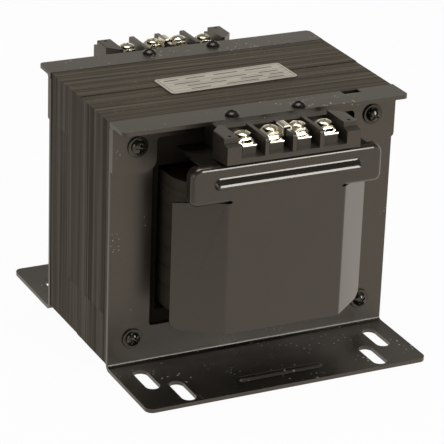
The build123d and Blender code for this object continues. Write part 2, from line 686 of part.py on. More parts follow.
def stem():
    """The stem with its two wings, one sheet folded back along two upright lines."""
    half = STEM_WIDTH / 2
    angle = atan2(WING_FOLD_BACK, WING_REACH)
    inner_fold = half - COVER_SHEET * tan(angle / 2)
    end_x = half + WING_REACH
    end_y = COVER_FACE + WING_FOLD_BACK
    back_x = end_x - COVER_SHEET * sin(angle)
    back_y = end_y + COVER_SHEET * cos(angle)
    inside = COVER_FACE + COVER_SHEET
    corners = [
        (end_x, end_y), (half, COVER_FACE), (-half, COVER_FACE), (-end_x, end_y),
        (-back_x, back_y), (-inner_fold, inside), (inner_fold, inside), (back_x, back_y),
    ]
    plan = make_face(Polyline(*corners, close=True))
    outer_folds = plan.vertices().filter_by(lambda v: abs(v.Y - COVER_FACE) < 0.01)
    plan = fillet(outer_folds, COVER_BEND)
    inner_folds = plan.vertices().filter_by(lambda v: abs(v.Y - inside) < 0.01 and abs(v.X) < half)
    plan = fillet(inner_folds, COVER_BEND - COVER_SHEET)
    low = STEM_BOTTOM - WING_BOTTOM_DROP
    high = WING_TOP - WING_TOP_DROP
    outline = [
        (-end_x, low), (-half, STEM_BOTTOM), (half, STEM_BOTTOM), (end_x, low),
        (end_x, high), (half, WING_TOP), (-half, WING_TOP), (-end_x, high),
    ]
    front_view = make_face(Polyline(*outline, close=True))
    front_view = fillet(front_view.vertices().filter_by(lambda v: abs(v.Y - low) < 0.01), WING_CORNER)
    sheet = Pos(0, 0, low) * extrude(plan, WING_TOP - low)
    return sheet & extrude(Plane.XZ * front_view, -2 * COVER_FACE, both=True)


def coil_cover():
    """The folded cover: crossbar, stem, two wings and a lip that runs back under the block."""
    inside = COVER_FACE + COVER_SHEET
    neck = STEM_WIDTH / 2 - COVER_BEND / 2
    lip_half = LIP_WIDTH / 2
    lip_front = COVER_FACE + COVER_BEND
    body = crossbar() + stem()
    body += block(-neck, neck, COVER_FACE, inside, WING_TOP, CROSSBAR_BOTTOM + COVER_BEND)
    body += block(-lip_half, lip_half, lip_front, BLOCK_BACK, LIP_UNDER, BLOCK_SEAT)
    for side in (-1, 1):
        relief = Rot(0, side * 45, 0) * Box(RELIEF_LENGTH, 4 * COVER_SHEET, RELIEF_WIDTH)
        body -= Pos(side * neck, COVER_FACE, CROSSBAR_BOTTOM) * relief
        body -= drill_z(side * BLOCK_SCREW_X, BLOCK_SCREW_Y, BLOCK_SCREW_HOLE, LIP_UNDER, BLOCK_SEAT)
    for x in TERMINAL_X:
        half_slot = TAIL_WIDTH / 2 + LIP_SLOT_CLEARANCE
        slot_front = TAIL_Y - LIP_SLOT_CLEARANCE
        slot_back = TAIL_Y + PLATE_THICKNESS + LIP_SLOT_CLEARANCE
        body -= block(x - half_slot, x + half_slot, slot_front, slot_back, LIP_UNDER, BLOCK_SEAT)
    body += cover_bead(0, COVER_FACE)
    body = fillet(body.edges().filter_by(on_bead_root), COVER_BEAD_ROOT_RADIUS)
    return body - cover_bead(COVER_SHEET, inside)


def on_bead_root(edge):
    """Whether an edge is where the bead rises from the crossbar's face."""
    middle = edge.center(CenterOf.BOUNDING_BOX)
    inside_length = abs(middle.X) < COVER_BEAD_LENGTH / 2 + 0.1
    inside_height = abs(middle.Z - COVER_BEAD_CENTRE) < COVER_BEAD_HEIGHT / 2 + 0.1
    return inside_length and inside_height and abs(middle.Y - COVER_FACE) < 0.01


def cover_bead(inset, root):
    """The crossbar's long bead, a low ridge whose crest sags, or its hollow where inset is the sheet."""
    crest = COVER_FACE - COVER_BEAD_RISE + inset
    slope = COVER_BEAD_SLOPE
    foot = SlotOverall(COVER_BEAD_LENGTH - 2 * inset, COVER_BEAD_HEIGHT - 2 * inset)
    ridge = SlotOverall(COVER_BEAD_LENGTH - 2 * inset - 2 * slope, COVER_BEAD_CREST)
    front = Plane.XZ
    low = Pos(0, root, COVER_BEAD_CENTRE) * (front * foot)
    high = Pos(0, crest, COVER_BEAD_CENTRE - COVER_BEAD_SAG) * (front * ridge)
    body = loft([low.face(), high.face()])
    if inset:
        return body
    rim = body.edges().filter_by(lambda e: abs(e.center(CenterOf.BOUNDING_BOX).Y - crest) < 0.01)
    return fillet(rim, COVER_BEAD_CREST_RADIUS)


def rating_plate():
    """A thin foil plate on the top of the stack, set a little askew."""
    foil = extrude(RectangleRounded(PLATE_LENGTH, PLATE_WIDTH, PLATE_CORNER), PLATE_FOIL)
    return Pos(PLATE_X, PLATE_Y, CORE_TOP) * Rot(0, 0, PLATE_TURN) * foil


def all_nodes():
    """Every node by name."""
    nodes = {}
    nodes["core_e_laminations"], nodes["core_i_laminations"] = lamination_packets()
    nodes.update(coil())
    nodes["coil_wedges"] = coil_wedges()
    nodes.update(stack_fasteners())
    nodes["rating_plate"] = rating_plate()
    ends = {
        "lower_bracket": lower_bracket(),
        "upper_bracket": upper_bracket(),
        "coil_cover": coil_cover(),
        "terminal_block": terminal_block(),
        **terminal_hardware(),
        **block_fasteners(),
    }
    for name, shape in ends.items():
        nodes["front_" + name] = shape
        nodes["rear_" + name] = turned(shape)
    return nodes


for node_name, node_shape in all_nodes().items():
    export_step(node_shape, f"parts/{node_name}.step")
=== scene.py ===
"""The looks of an open, chassis mount control transformer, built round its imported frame.

The frame's solids give every shape its place. This script gives them their finishes, swaps the
sheet parts and fasteners for finer ones with broken edges, shows the bundles of laminations, the
threads and the turns of tape that the solids stand for, and sets up a plain studio with the
camera at the photograph's viewing angle. Meshes are in metres, in the row's frame. Named sizes
are in millimetres, but for the lamps' places and sizes and the floor's.
"""
import json
import logging
import math
import random
from dataclasses import dataclass, field
from enum import Enum
from functools import cached_property, partial, reduce
from typing import Callable, Iterable, Optional

import bmesh
import bpy
from mathutils import Matrix, Vector

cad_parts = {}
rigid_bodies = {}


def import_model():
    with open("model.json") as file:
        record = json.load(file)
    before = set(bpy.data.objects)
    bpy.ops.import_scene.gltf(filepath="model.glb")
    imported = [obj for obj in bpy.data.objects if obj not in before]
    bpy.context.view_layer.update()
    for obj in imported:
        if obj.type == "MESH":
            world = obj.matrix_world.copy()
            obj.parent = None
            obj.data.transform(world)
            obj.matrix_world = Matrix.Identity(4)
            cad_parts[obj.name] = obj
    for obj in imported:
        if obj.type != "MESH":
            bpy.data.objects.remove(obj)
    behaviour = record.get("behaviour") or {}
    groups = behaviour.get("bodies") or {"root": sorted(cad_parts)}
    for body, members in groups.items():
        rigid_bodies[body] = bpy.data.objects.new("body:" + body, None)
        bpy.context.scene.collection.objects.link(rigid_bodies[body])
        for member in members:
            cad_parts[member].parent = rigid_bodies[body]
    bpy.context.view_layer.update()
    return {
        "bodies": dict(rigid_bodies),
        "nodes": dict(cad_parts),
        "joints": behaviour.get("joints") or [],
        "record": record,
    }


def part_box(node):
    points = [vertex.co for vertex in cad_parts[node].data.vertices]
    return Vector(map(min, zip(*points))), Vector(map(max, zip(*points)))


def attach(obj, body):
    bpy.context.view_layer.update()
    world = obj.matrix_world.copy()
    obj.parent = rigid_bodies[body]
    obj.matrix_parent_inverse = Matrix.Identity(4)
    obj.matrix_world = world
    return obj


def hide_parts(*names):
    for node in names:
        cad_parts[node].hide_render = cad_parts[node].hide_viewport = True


log = logging.getLogger("transformer")

Span = tuple[float, float]
Point = tuple[float, float, float]
Colour = tuple[float, float, float, float]
Shape = bmesh.types.BMesh
Edge = bmesh.types.BMEdge
Vert = bmesh.types.BMVert
Node = bpy.types.Node
Socket = bpy.types.NodeSocket

MM = 0.001
ENDS = ("front", "rear")


class Slot(Enum):
    """The record's material slots."""

    LAMINATION = "lamination_steel"
    BRACKET = "bracket_enamel"
    COVER = "cover_enamel"
    BLOCK = "block_moulding"
    PLATING = "bright_plating"
    ZINC = "zinc_screws"
    BLACK_SCREW = "black_screws"
    COPPER = "winding_copper"
    PAPER = "insulation_paper"
    WRAP = "wrap_tape"
    BOARD = "tube_board"
    SLEEVE = "lead_sleeve"
    FOIL = "plate_foil"


class NodeTree:
    """A short way to add and join shader nodes in one tree."""

    def __init__(self, tree: bpy.types.NodeTree) -> None:
        """Keep the tree of a material, a world or a group."""
        self.tree = tree

    def put(self, node: Node, **values: object) -> None:
        """Set or link a node's inputs.

        Args:
            node: The node.
            **values: A number, colour or socket for each input, by the input's name with spaces
                written as underscores, or by its number after the letter i.
        """
        for key, value in values.items():
            socket = node.inputs[int(key[1:]) if key[1:].isdigit() else key.replace("_", " ")]
            if isinstance(value, Socket):
                self.tree.links.new(value, socket)
            else:
                socket.default_value = value

    def add(self, kind: str, **values: object) -> Node:
        """Add a node and set its properties and inputs.

        Args:
            kind: The node's Blender type, without the ShaderNode prefix.
            **values: Properties by name, or inputs as put takes them.

        Returns:
            The new node.
        """
        node = self.tree.nodes.new("ShaderNode" + kind)
        for key, value in values.items():
            if hasattr(node, key):
                setattr(node, key, value)
            else:
                self.put(node, **{key: value})
        return node

    def math(self, operation: str, a: object, b: object = 0.0, clamp: bool = False) -> Socket:
        """Combine two sockets or numbers, and hold the result between 0 and 1 if it is clamped."""
        return self.add("Math", operation=operation, use_clamp=clamp, i0=a, i1=b).outputs[0]

    def plus(self, *values: object) -> Socket:
        """Add sockets or numbers, from the first to the last."""
        return reduce(partial(self.math, "ADD"), values)

    def times(self, *values: object) -> Socket:
        """Multiply sockets or numbers, from the first to the last."""
        return reduce(partial(self.math, "MULTIPLY"), values)

    def blend(self, factor: object, a: object, b: object, blend_type: str = "MIX") -> Socket:
        """Mix two colours: the first where the factor is 0, the second where it is 1."""
        return self.add("Mix", data_type="RGBA", blend_type=blend_type, i0=factor, i6=a, i7=b).outputs[2]

    def ramp(self, value: Socket, low: float, high: float) -> Socket:
        """Stretch a value so that low becomes 0 and high becomes 1."""
        return self.add("MapRange", i0=value, i1=low, i2=high).outputs[0]


def grey(level: float) -> Colour:
    """A plain grey."""
    return (level, level, level, 1.0)


def new_group(name: str, inputs: dict[str, float], outputs: Iterable[str]) -> tuple[NodeTree, Node, Node]:
    """Start a node group whose sockets are all numbers.

    Args:
        name: The group's name.
        inputs: Each input's name and default.
        outputs: The outputs' names.

    Returns:
        The group's tree helper, its input node and its output node.
    """
    tree = bpy.data.node_groups.new(name, "ShaderNodeTree")
    for label, default in inputs.items():
        socket = tree.interface.new_socket(name=label, in_out="INPUT", socket_type="NodeSocketFloat")
        socket.default_value = default
    for label in outputs:
        tree.interface.new_socket(name=label, in_out="OUTPUT", socket_type="NodeSocketFloat")
    return NodeTree(tree), tree.nodes.new("NodeGroupInput"), tree.nodes.new("NodeGroupOutput")


def new_material(name: str) -> tuple[bpy.types.Material, NodeTree, Node]:
    """Start a material: the material, its tree helper and its Principled shader."""
    material = bpy.data.materials.new(name)
    material.use_nodes = True
    return material, NodeTree(material.node_tree), material.node_tree.nodes["Principled BSDF"]


def new_object(name: str, data: bpy.types.ID) -> bpy.types.Object:
    """Put an object with this mesh, lamp or camera in the scene."""
    made = bpy.data.objects.new(name, data)
    bpy.context.scene.collection.objects.link(made)
    return made


@dataclass
class EffectGroups:
    """The node groups that more than one finish uses, each built once.

    A scale is in features per metre. A span says where a mask turns from 0 to 1.
    """

    patch_scale: float = 60.0
    patch: Span = (0.62, 0.72)
    dot_scale: float = 420.0
    dot_size: float = 0.16
    drift_scale: float = 45.0
    drift: Span = (0.4, 0.62)
    mote_scale: float = 300.0
    mote_size: float = 0.19
    facing_up: Span = (0.6, 0.95)
    cloud_scale: float = 28.0
    speck_rise: float = 2.0
    stretches: Point = (0.16, 0.41, 1.0)
    shares: Point = (0.35, 0.4, 0.25)
    line: Span = (0.36, 0.5)
    line_sunk: float = 0.5
    facing_end: Span = (0.7, 0.95)
    tone: Span = (0.38, 0.62)

    @cached_property
    def grain(self) -> bpy.types.NodeTree:
        """The fine orange peel and stray specks of baked enamel.

        Returns:
            The group, with a Height, a Speck mask and a slow Cloud value.
        """
        inputs = {"Scale": 900.0, "Specks": 0.5, "Dust": 0.0}
        made, start, end = new_group("enamel grain", inputs, ("Height", "Speck", "Cloud"))
        spot = made.add("TexCoord")
        noise = partial(made.add, "TexNoise", Vector=spot.outputs["Object"])
        cells = partial(made.add, "TexVoronoi", Vector=spot.outputs["Object"])
        peel = noise(Scale=start.outputs["Scale"], Detail=2.0, Roughness=0.6)
        few = made.ramp(noise(Scale=self.patch_scale, Detail=1.0).outputs[0], *self.patch)
        near = made.math("LESS_THAN", cells(Scale=self.dot_scale).outputs["Distance"], self.dot_size)
        grit = made.times(near, few, start.outputs["Specks"])
        drift = made.ramp(noise(Scale=self.drift_scale, Detail=2.0).outputs[0], *self.drift)
        size = made.times(drift, self.mote_size)
        mote = made.math("LESS_THAN", cells(Scale=self.mote_scale).outputs["Distance"], size)
        up = made.ramp(made.add("SeparateXYZ", Vector=spot.outputs["Normal"]).outputs["Z"], *self.facing_up)
        speck = made.math("MAXIMUM", grit, made.times(mote, up, start.outputs["Dust"]))
        height = made.plus(peel.outputs[0], made.times(speck, self.speck_rise))
        cloud = noise(Scale=self.cloud_scale, Detail=3.0, Roughness=0.55)
        made.put(end, Height=height, Speck=speck, Cloud=cloud.outputs[0])
        return made.tree

    @cached_property
    def bands(self) -> bpy.types.NodeTree:
        """Uneven bands along one axis, as stacked sheets or wound turns show.

        Returns:
            The group, with a Tone for colour, a Height for bump, a Line mask for the joints
            between sheets or turns, and a Face mask for what faces along Y, where finishes paint shade.
        """
        inputs = {"Axis X": 0.0, "Axis Y": 1.0, "Axis Z": 0.0, "Pitch": 0.5, "Fray": 8.0, "Top Share": 1.0}
        made, start, end = new_group("stack bands", inputs, ("Tone", "Height", "Line", "Face"))
        spot = made.add("TexCoord")
        place = spot.outputs["Object"]
        axis = made.add("CombineXYZ", i0=start.outputs[0], i1=start.outputs[1], i2=start.outputs[2])
        along = made.add("VectorMath", operation="DOT_PRODUCT", i0=place, i1=axis.outputs[0])
        sheets = made.math("DIVIDE", made.times(along.outputs["Value"], 1 / MM), start.outputs["Pitch"])
        fray = made.add("VectorMath", operation="SCALE", i0=place, Scale=start.outputs["Fray"])
        tones = []
        for stretch in self.stretches:
            run = made.add("CombineXYZ", i0=made.times(sheets, stretch))
            moved = made.add("VectorMath", operation="ADD", i0=run.outputs[0], i1=fray.outputs[0])
            tones.append(made.add("TexNoise", Vector=moved.outputs[0], Scale=1.0, Detail=1.0).outputs[0])
        tone = made.plus(*(made.times(part, share) for part, share in zip(tones, self.shares)))
        off_middle = made.math("ABSOLUTE", made.math("SUBTRACT", made.math("FRACT", sheets), 0.5))
        line = made.ramp(off_middle, *self.line)
        height = made.math("SUBTRACT", made.plus(tone, tones[-1]), made.times(line, self.line_sunk))
        faces = made.add("SeparateXYZ", Vector=spot.outputs["Normal"])
        up = made.math("ABSOLUTE", faces.outputs["Z"])
        kept = made.add("MapRange", i0=up, i1=0.0, i2=1.0, i3=1.0, i4=start.outputs["Top Share"])
        shown = made.times(made.ramp(tone, *self.tone), kept.outputs[0])
        # Faces that look along Y: the mask for the painted shade on a stack's flat faces.
        face = made.ramp(made.math("ABSOLUTE", faces.outputs["Y"]), *self.facing_end)
        made.put(end, Tone=shown, Height=height, Line=line, Face=face)
        return made.tree


@dataclass(frozen=True)
class Finish:
    """One finish: the numbers of its shader and how the grain changes them."""

    name: str
    slot: Slot
    colour: Colour
    roughness: float = 0.4
    metallic: float = 0.0
    ior: float = 1.5
    tint: Colour = (1.0, 1.0, 1.0, 1.0)
    grain_scale: float = 900.0
    specks: float = 0.0
    dust: float = 0.0
    speck_colour: Colour = (0.42, 0.39, 0.33, 1.0)
    speck_rough: float = 0.3
    cloud: float = 0.15
    cloud_span: Span = (0.3, 0.7)
    cloud_rough: float = 0.3
    depth: float = 0.01
    bump: float = 0.35

    def pattern(self, made: NodeTree, grain: Node, groups: EffectGroups) -> tuple[Socket, Socket, Socket]:
        """Join the grain to the surface: stray specks and a slow change of tone.

        Args:
            made: The material's tree helper.
            grain: The grain group's node.
            groups: The shared effect groups. Not used here.

        Returns:
            The colour, the roughness and the height.
        """
        tone = made.ramp(grain.outputs["Cloud"], *self.cloud_span)
        dark = (*(c * (1 - self.cloud) for c in self.colour[:3]), 1.0)
        light = (*(min(1.0, c * (1 + self.cloud)) for c in self.colour[:3]), 1.0)
        colour = made.blend(grain.outputs["Speck"], made.blend(tone, dark, light), self.speck_colour)
        sway = self.cloud_rough * self.cloud
        rough = made.plus(made.times(tone, sway), self.roughness - sway / 2)
        rough = made.math("ADD", rough, made.times(grain.outputs["Speck"], self.speck_rough), clamp=True)
        return colour, rough, grain.outputs["Height"]

    def build(self, groups: EffectGroups) -> bpy.types.Material:
        """Make the material: its shader, and the pattern that feeds it.

        Args:
            groups: The shared effect groups.

        Returns:
            The material.
        """
        material, made, shader = new_material(self.name)
        material.diffuse_color = self.colour
        made.put(shader, Base_Color=self.colour, Roughness=self.roughness, Metallic=self.metallic)
        made.put(shader, IOR=self.ior, Specular_Tint=self.tint)
        grain = made.add("Group", node_tree=groups.grain)
        made.put(grain, Scale=self.grain_scale, Specks=self.specks, Dust=self.dust)
        colour, rough, height = self.pattern(made, grain, groups)
        bump = made.add("Bump", Strength=self.bump, Distance=self.depth * MM, Height=height)
        made.put(shader, Base_Color=colour, Roughness=rough, Normal=bump.outputs[0])
        return material


@dataclass(frozen=True)
class BandedFinish(Finish):
    """A finish with bands along one axis, for stacked sheets and wound turns, with painted shade on the
    faces that look along Y.
    """

    speck_colour: Colour = (0.3, 0.27, 0.22, 1.0)
    cloud_span: Span = (0.62, 0.36)
    cloud_rough: float = 0.16
    depth: float = 0.06
    bump: float = 0.6
    axis: Point = (0.0, 1.0, 0.0)
    pitch: float = 0.5
    fray: float = 8.0
    band_light: Colour = (0.1, 0.1, 0.1, 1.0)
    band_rough: float = -0.1
    rough_shift: float = 0.03
    grain_share: float = 0.12
    line_colour: Colour = (0.003, 0.003, 0.002, 1.0)
    line_dark: float = 0.35
    top_share: float = 1.0
    # Painted shade: a near-black colour and its share, which darken the faces that look along Y.
    painted_shade_colour: Colour = (0.002, 0.0017, 0.0012, 1.0)
    painted_shade_share: float = 0.0
    face_rough: float = 0.5

    def pattern(self, made: NodeTree, grain: Node, groups: EffectGroups) -> tuple[Socket, Socket, Socket]:
        """Join the bands, the grain and the painted shade to the surface.

        Args:
            made: The material's tree helper.
            grain: The grain group's node.
            groups: The shared effect groups.

        Returns:
            The colour, the roughness and the height.
        """
        bands = made.add("Group", node_tree=groups.bands)
        for index, value in enumerate((*self.axis, self.pitch, self.fray, self.top_share)):
            bands.inputs[index].default_value = value
        colour = made.blend(bands.outputs["Tone"], self.colour, self.band_light)
        stain = made.times(made.ramp(grain.outputs["Cloud"], *self.cloud_span), self.cloud)
        colour = made.blend(stain, colour, self.colour)
        colour = made.blend(made.times(bands.outputs["Line"], self.line_dark), colour, self.line_colour)
        colour = made.blend(grain.outputs["Speck"], colour, self.speck_colour)
        # Painted shade: faces along Y are mixed towards a near-black colour and made rougher.
        shaded = made.times(bands.outputs["Face"], self.painted_shade_share)
        colour = made.blend(shaded, colour, self.painted_shade_colour)
        cloud = made.times(grain.outputs["Cloud"], self.cloud_rough)
        band = made.times(bands.outputs["Tone"], self.band_rough)
        rough = made.plus(cloud, band, self.roughness - self.rough_shift)
        rough = made.math("ADD", rough, made.times(shaded, self.face_rough), clamp=True)
        fine = made.times(grain.outputs["Height"], self.grain_share)
        return colour, rough, made.plus(bands.outputs["Height"], fine)


WARM = (1.0, 0.87, 0.74, 1.0)
ENAMEL = (1.0, 0.895, 0.79, 1.0)
UPRIGHT = (0.0, 0.0, 1.0)

FINISHES = (
    # The laminations' faces along Y get painted shade, close to black.
    BandedFinish("varnished laminations", Slot.LAMINATION, (0.024, 0.0195, 0.0135, 1.0), 0.55, ior=1.26,
                 tint=WARM, dust=0.25, cloud=0.3, depth=0.03, fray=7.0,
                 band_light=(0.092, 0.077, 0.056, 1.0), line_dark=0.4, top_share=1.5, painted_shade_share=0.6),
    Finish("baked bracket enamel", Slot.BRACKET, (0.0165, 0.0146, 0.0115, 1.0), 0.3, ior=1.74,
           tint=ENAMEL, grain_scale=1500.0, depth=0.02, specks=0.7, dust=1.0, cloud=0.25),
    Finish("glossy cover enamel", Slot.COVER, (0.015, 0.0135, 0.0115, 1.0), 0.13, ior=1.68,
           tint=ENAMEL, grain_scale=1200.0, depth=0.004, dust=0.15, cloud=0.12),
    Finish("moulded block", Slot.BLOCK, (0.028, 0.025, 0.0205, 1.0), 0.32, ior=1.62,
           tint=WARM, grain_scale=1400.0, depth=0.008),
    Finish("bright plating", Slot.PLATING, (0.86, 0.82, 0.70, 1.0), 0.16, 1.0,
           grain_scale=1800.0, cloud=0.1),
    Finish("dark plated screws", Slot.ZINC, (0.07, 0.063, 0.052, 1.0), 0.17, 0.9,
           grain_scale=1600.0, depth=0.006, cloud=0.25),
    Finish("black screws", Slot.BLACK_SCREW, (0.03, 0.027, 0.022, 1.0), 0.17, 0.6, ior=1.7,
           grain_scale=1600.0, depth=0.006, cloud=0.25),
    BandedFinish("varnished wire turns", Slot.COPPER, (0.022, 0.014, 0.008, 1.0), 0.5, ior=1.35,
                 axis=UPRIGHT, pitch=1.6, fray=4.0, band_light=(0.040, 0.022, 0.012, 1.0),
                 depth=0.3, line_dark=0.8),
    Finish("insulation paper", Slot.PAPER, (0.03, 0.022, 0.013, 1.0), 0.7, ior=1.3, depth=0.03, cloud=0.25),
    BandedFinish("varnished wrap", Slot.WRAP, (0.03, 0.026, 0.019, 1.0), 0.6, ior=1.35,
                 axis=UPRIGHT, pitch=12.0, fray=6.0, band_light=(0.045, 0.038, 0.027, 1.0),
                 depth=0.1, line_dark=0.3),
    Finish("tube board", Slot.BOARD, (0.014, 0.010, 0.006, 1.0), 0.7, ior=1.3, depth=0.03, cloud=0.25),
    Finish("lead sleeve", Slot.SLEEVE, (0.012, 0.0115, 0.011, 1.0), 0.6, ior=1.35, depth=0.02, cloud=0.2),
    Finish("plate foil", Slot.FOIL, (0.52, 0.49, 0.42, 1.0), 0.38,
           grain_scale=1400.0, depth=0.006, cloud=0.1),
)
PLATE_INK = Finish("plate ink", Slot.FOIL, (0.10, 0.092, 0.075, 1.0), 0.5, grain_scale=2500.0, cloud=0.5)


def merge(shape: Shape) -> None:
    """Join the vertices that share a place."""
    bmesh.ops.remove_doubles(shape, verts=shape.verts, dist=0.002 * MM)


def cut_through(shape: Shape, place: Vector, normal: Point | Vector) -> None:
    """Cut every face that a plane crosses, and leave both halves joined."""
    parts = list(shape.verts) + list(shape.edges) + list(shape.faces)
    bmesh.ops.bisect_plane(shape, geom=parts, dist=1e-7, plane_co=place, plane_no=normal)


def grow(shape: Shape, edges: list[Edge], loop: list[Vert]) -> tuple[list[Edge], list[Vert]]:
    """Extrude a closed loop of edges once.

    Args:
        shape: The mesh that they are in.
        edges: The loop's edges.
        loop: The loop's vertices.

    Returns:
        The new loop's edges, and its vertices in the order of those they grew from.
    """
    grown = bmesh.ops.extrude_edge_only(shape, edges=edges)["geom"]
    fresh = {item for item in grown if isinstance(item, Vert)}
    heirs = [next(heir for e in vert.link_edges if (heir := e.other_vert(vert)) in fresh) for vert in loop]
    return [e for e in grown if isinstance(e, Edge) and all(v in fresh for v in e.verts)], heirs


def seal(shape: Shape, *ends: list[Edge]) -> None:
    """Fill each open end of a shape and turn its faces outwards."""
    for end in ends:
        bmesh.ops.contextual_create(shape, geom=end)
    bmesh.ops.recalc_face_normals(shape, faces=shape.faces)


def skin_rings(turns: list[float], rings: list[list[Span]], capped: bool) -> Shape:
    """Extrude a circle from ring to ring.

    Args:
        turns: The turn of each of a ring's points.
        rings: Each ring's points, by distance from the axis and height.
        capped: Whether both ends get a face. If not, the last ring is joined to the first.

    Returns:
        The closed shape.
    """
    shape = bmesh.new()
    loop = bmesh.ops.create_circle(shape, cap_ends=False, radius=1.0, segments=len(turns))["verts"]
    first = edges = list(shape.edges)
    for number, ring in enumerate(rings):
        if number:
            edges, loop = grow(shape, edges, loop)
        for vert, turn, (reach, rise) in zip(loop, turns, ring):
            vert.co = (reach * math.cos(turn), reach * math.sin(turn), rise)
    if capped:
        seal(shape, first, edges)
    else:
        bmesh.ops.bridge_loops(shape, edges=first + edges)
        seal(shape)
    return shape


def even_turns(steps: int) -> list[float]:
    """Evenly spaced turns round a circle."""
    return [math.tau * i / steps for i in range(steps)]


def round_skin(profile: list[Span], steps: int, capped: bool) -> Shape:
    """Skin a round shape from a profile of distances from the axis and heights."""
    return skin_rings(even_turns(steps), [[spot] * steps for spot in profile], capped)


@dataclass(frozen=True)
class ScrewHead:
    """A domed pan head with a cross recess and a longer slot through it, in millimetres.

    The rim and the side's rise are shares of the height, and the floor's share is of the
    recess's mouth. The other shares, the lips and their limit are of the radius.
    """

    radius: float
    height: float
    slot_share: float
    cross_share: float
    arm_half: float
    depth: float
    rim: float
    seat_share: float = 0.97
    side_rise: float = 0.1
    crown_shares: Point = (1.0, 0.94, 0.84)
    lips: tuple[Span, ...] = ((0.07, 0.6), (0.012, 0.0))
    lip_limit: float = 0.83
    recess_sunk: float = 0.06
    floor_share: float = 0.82

    def angles(self) -> list[float]:
        """The turns at which the head's rings have a point, so that the recess has true corners."""
        slot_corner = math.atan2(self.arm_half, self.radius * self.slot_share)
        cross_corner = math.pi / 2 - math.atan2(self.arm_half, self.radius * self.cross_share)
        inner = math.pi / 4
        quarter = [0.0, slot_corner, (slot_corner + inner) / 2]
        quarter += [inner, (inner + cross_corner) / 2, cross_corner]
        turns = quarter + [math.pi / 2] + [math.pi - turn for turn in reversed(quarter[1:])]
        return turns + [turn + math.pi for turn in turns]

    def recess(self, angle: float) -> float:
        """How far the recess reaches from the middle, at a turn from the slot's line."""
        along, across = max(abs(math.cos(angle)), 1e-6), max(abs(math.sin(angle)), 1e-6)
        slot = min(self.radius * self.slot_share / along, self.arm_half / across)
        cross = min(self.radius * self.cross_share / across, self.arm_half / along)
        return max(slot, cross)

    def crown(self, reach: float) -> float:
        """The head's height at a distance from its middle."""
        return self.height * (1 - (1 - self.rim) * (reach / self.radius) ** 3)

    def build(self) -> Shape:
        """Make the head, closed, from its seat at zero over the crown and down into the recess."""
        turns = self.angles()
        whole = [(self.radius * self.seat_share, 0.0), (self.radius, self.height * self.side_rise)]
        whole += [(self.radius * share, self.crown(self.radius * share)) for share in self.crown_shares]
        rings = [[spot] * len(turns) for spot in whole]
        edge = [self.recess(turn) for turn in turns]
        limit = self.lip_limit * self.radius
        for margin, least in self.lips:
            lip = [max(reach + margin * self.radius, least * self.radius) for reach in edge]
            rings.append([(min(reach, limit), self.crown(reach)) for reach in lip])
        rings.append([(reach, self.crown(reach) - self.recess_sunk) for reach in edge])
        rings.append([(reach * self.floor_share, self.height - self.depth) for reach in edge])
        return skin_rings(turns, rings, capped=True)

    def drive(self, target: Shape, place: Matrix, spin: float, radius: float, length: float) -> None:
        """Add the screw to a mesh: this head, turned, and a shank with this radius and length."""
        add_to(target, self.build(), place @ turned(spin))
        add_to(target, shank(radius, length), place)


def washer(outer: float, hole: float, thickness: float, edge: float) -> Shape:
    """A round washer with broken edges, standing on zero."""
    profile = [
        (hole, 0.0), (outer - edge, 0.0), (outer, edge), (outer, thickness - edge),
        (outer - edge, thickness), (hole + edge / 2, thickness), (hole, thickness - edge / 2),
    ]
    return round_skin(profile, steps=40, capped=False)


def hex_nut(flats: float, height: float, hole: float) -> Shape:
    """A nut with its corners turned off at both faces, standing on zero."""
    steps, circle_share, slope, least_drop = 36, 1.02, math.radians(38), 0.04
    face_edge, mouth, mouth_deep = 0.1, 0.3, 0.25
    turns = even_turns(steps)
    across = flats / 2
    circle = across * circle_share
    reach = [across / math.cos((turn + math.pi / 6) % (math.pi / 3) - math.pi / 6) for turn in turns]
    lower = [
        [(hole, mouth_deep)] * steps,
        [(hole + mouth, 0.0)] * steps,
        [(min(r, circle) - face_edge, 0.0) for r in reach],
        [(r, max(0.0, r - circle) * math.tan(slope) + least_drop) for r in reach],
    ]
    upper = [[(r, height - rise) for r, rise in ring] for ring in reversed(lower)]
    return skin_rings(turns, lower + upper, capped=False)


def shank(radius: float, length: float) -> Shape:
    """A plain round shank that hangs down from zero to a short point."""
    buried, point = 0.1, 0.5
    profile = [(radius, buried), (radius, point - length), (radius - point, -length)]
    return round_skin(profile, steps=28, capped=True)


def thread(radius: float, depth: float, pitch: float, start: float, turns: int) -> Shape:
    """A helical ridge round an upright shank.

    Args:
        radius: The shank's radius.
        depth: How far the ridge's root lies inside it.
        pitch: The rise per turn.
        start: The height of the first turn.
        turns: How many turns.

    Returns:
        The ridge, closed at both ends.
    """
    steps = 24
    shape = bmesh.new()
    corners = [(radius - depth, start), (radius + depth, start + pitch / 2), (radius - depth, start + pitch)]
    verts = [shape.verts.new((reach, 0.0, rise)) for reach, rise in corners]
    edges = [shape.edges.new((verts[i], verts[(i + 1) % 3])) for i in range(3)]
    bmesh.ops.contextual_create(shape, geom=edges)
    spun = bmesh.ops.spin(
        shape, geom=list(edges), cent=(0, 0, 0), axis=(0, 0, 1), dvec=(0, 0, pitch / steps),
        angle=math.tau * turns, steps=steps * turns, use_merge=False, use_duplicate=False,
    )
    seal(shape, [item for item in spun["geom_last"] if isinstance(item, Edge)])
    return shape


def add_to(target: Shape, shape: Shape, place: Matrix) -> None:
    """Put a shape that is drawn in millimetres into a mesh in metres.

    Args:
        target: The mesh that takes it.
        shape: The shape. It is freed.
        place: Where it goes, in millimetres.
    """
    shape.transform(Matrix.Scale(MM, 4) @ place)
    scratch = bpy.data.meshes.new("scratch")
    shape.to_mesh(scratch)
    shape.free()
    target.from_mesh(scratch)
    bpy.data.meshes.remove(scratch)


def turned(degrees: float, axis: str = "Z") -> Matrix:
    """A turn about an axis."""
    return Matrix.Rotation(math.radians(degrees), 4, axis)


def end_turn(end: str) -> Matrix:
    """The half turn that takes a front piece to the rear, or none."""
    return turned(180.0 if end == "rear" else 0.0)


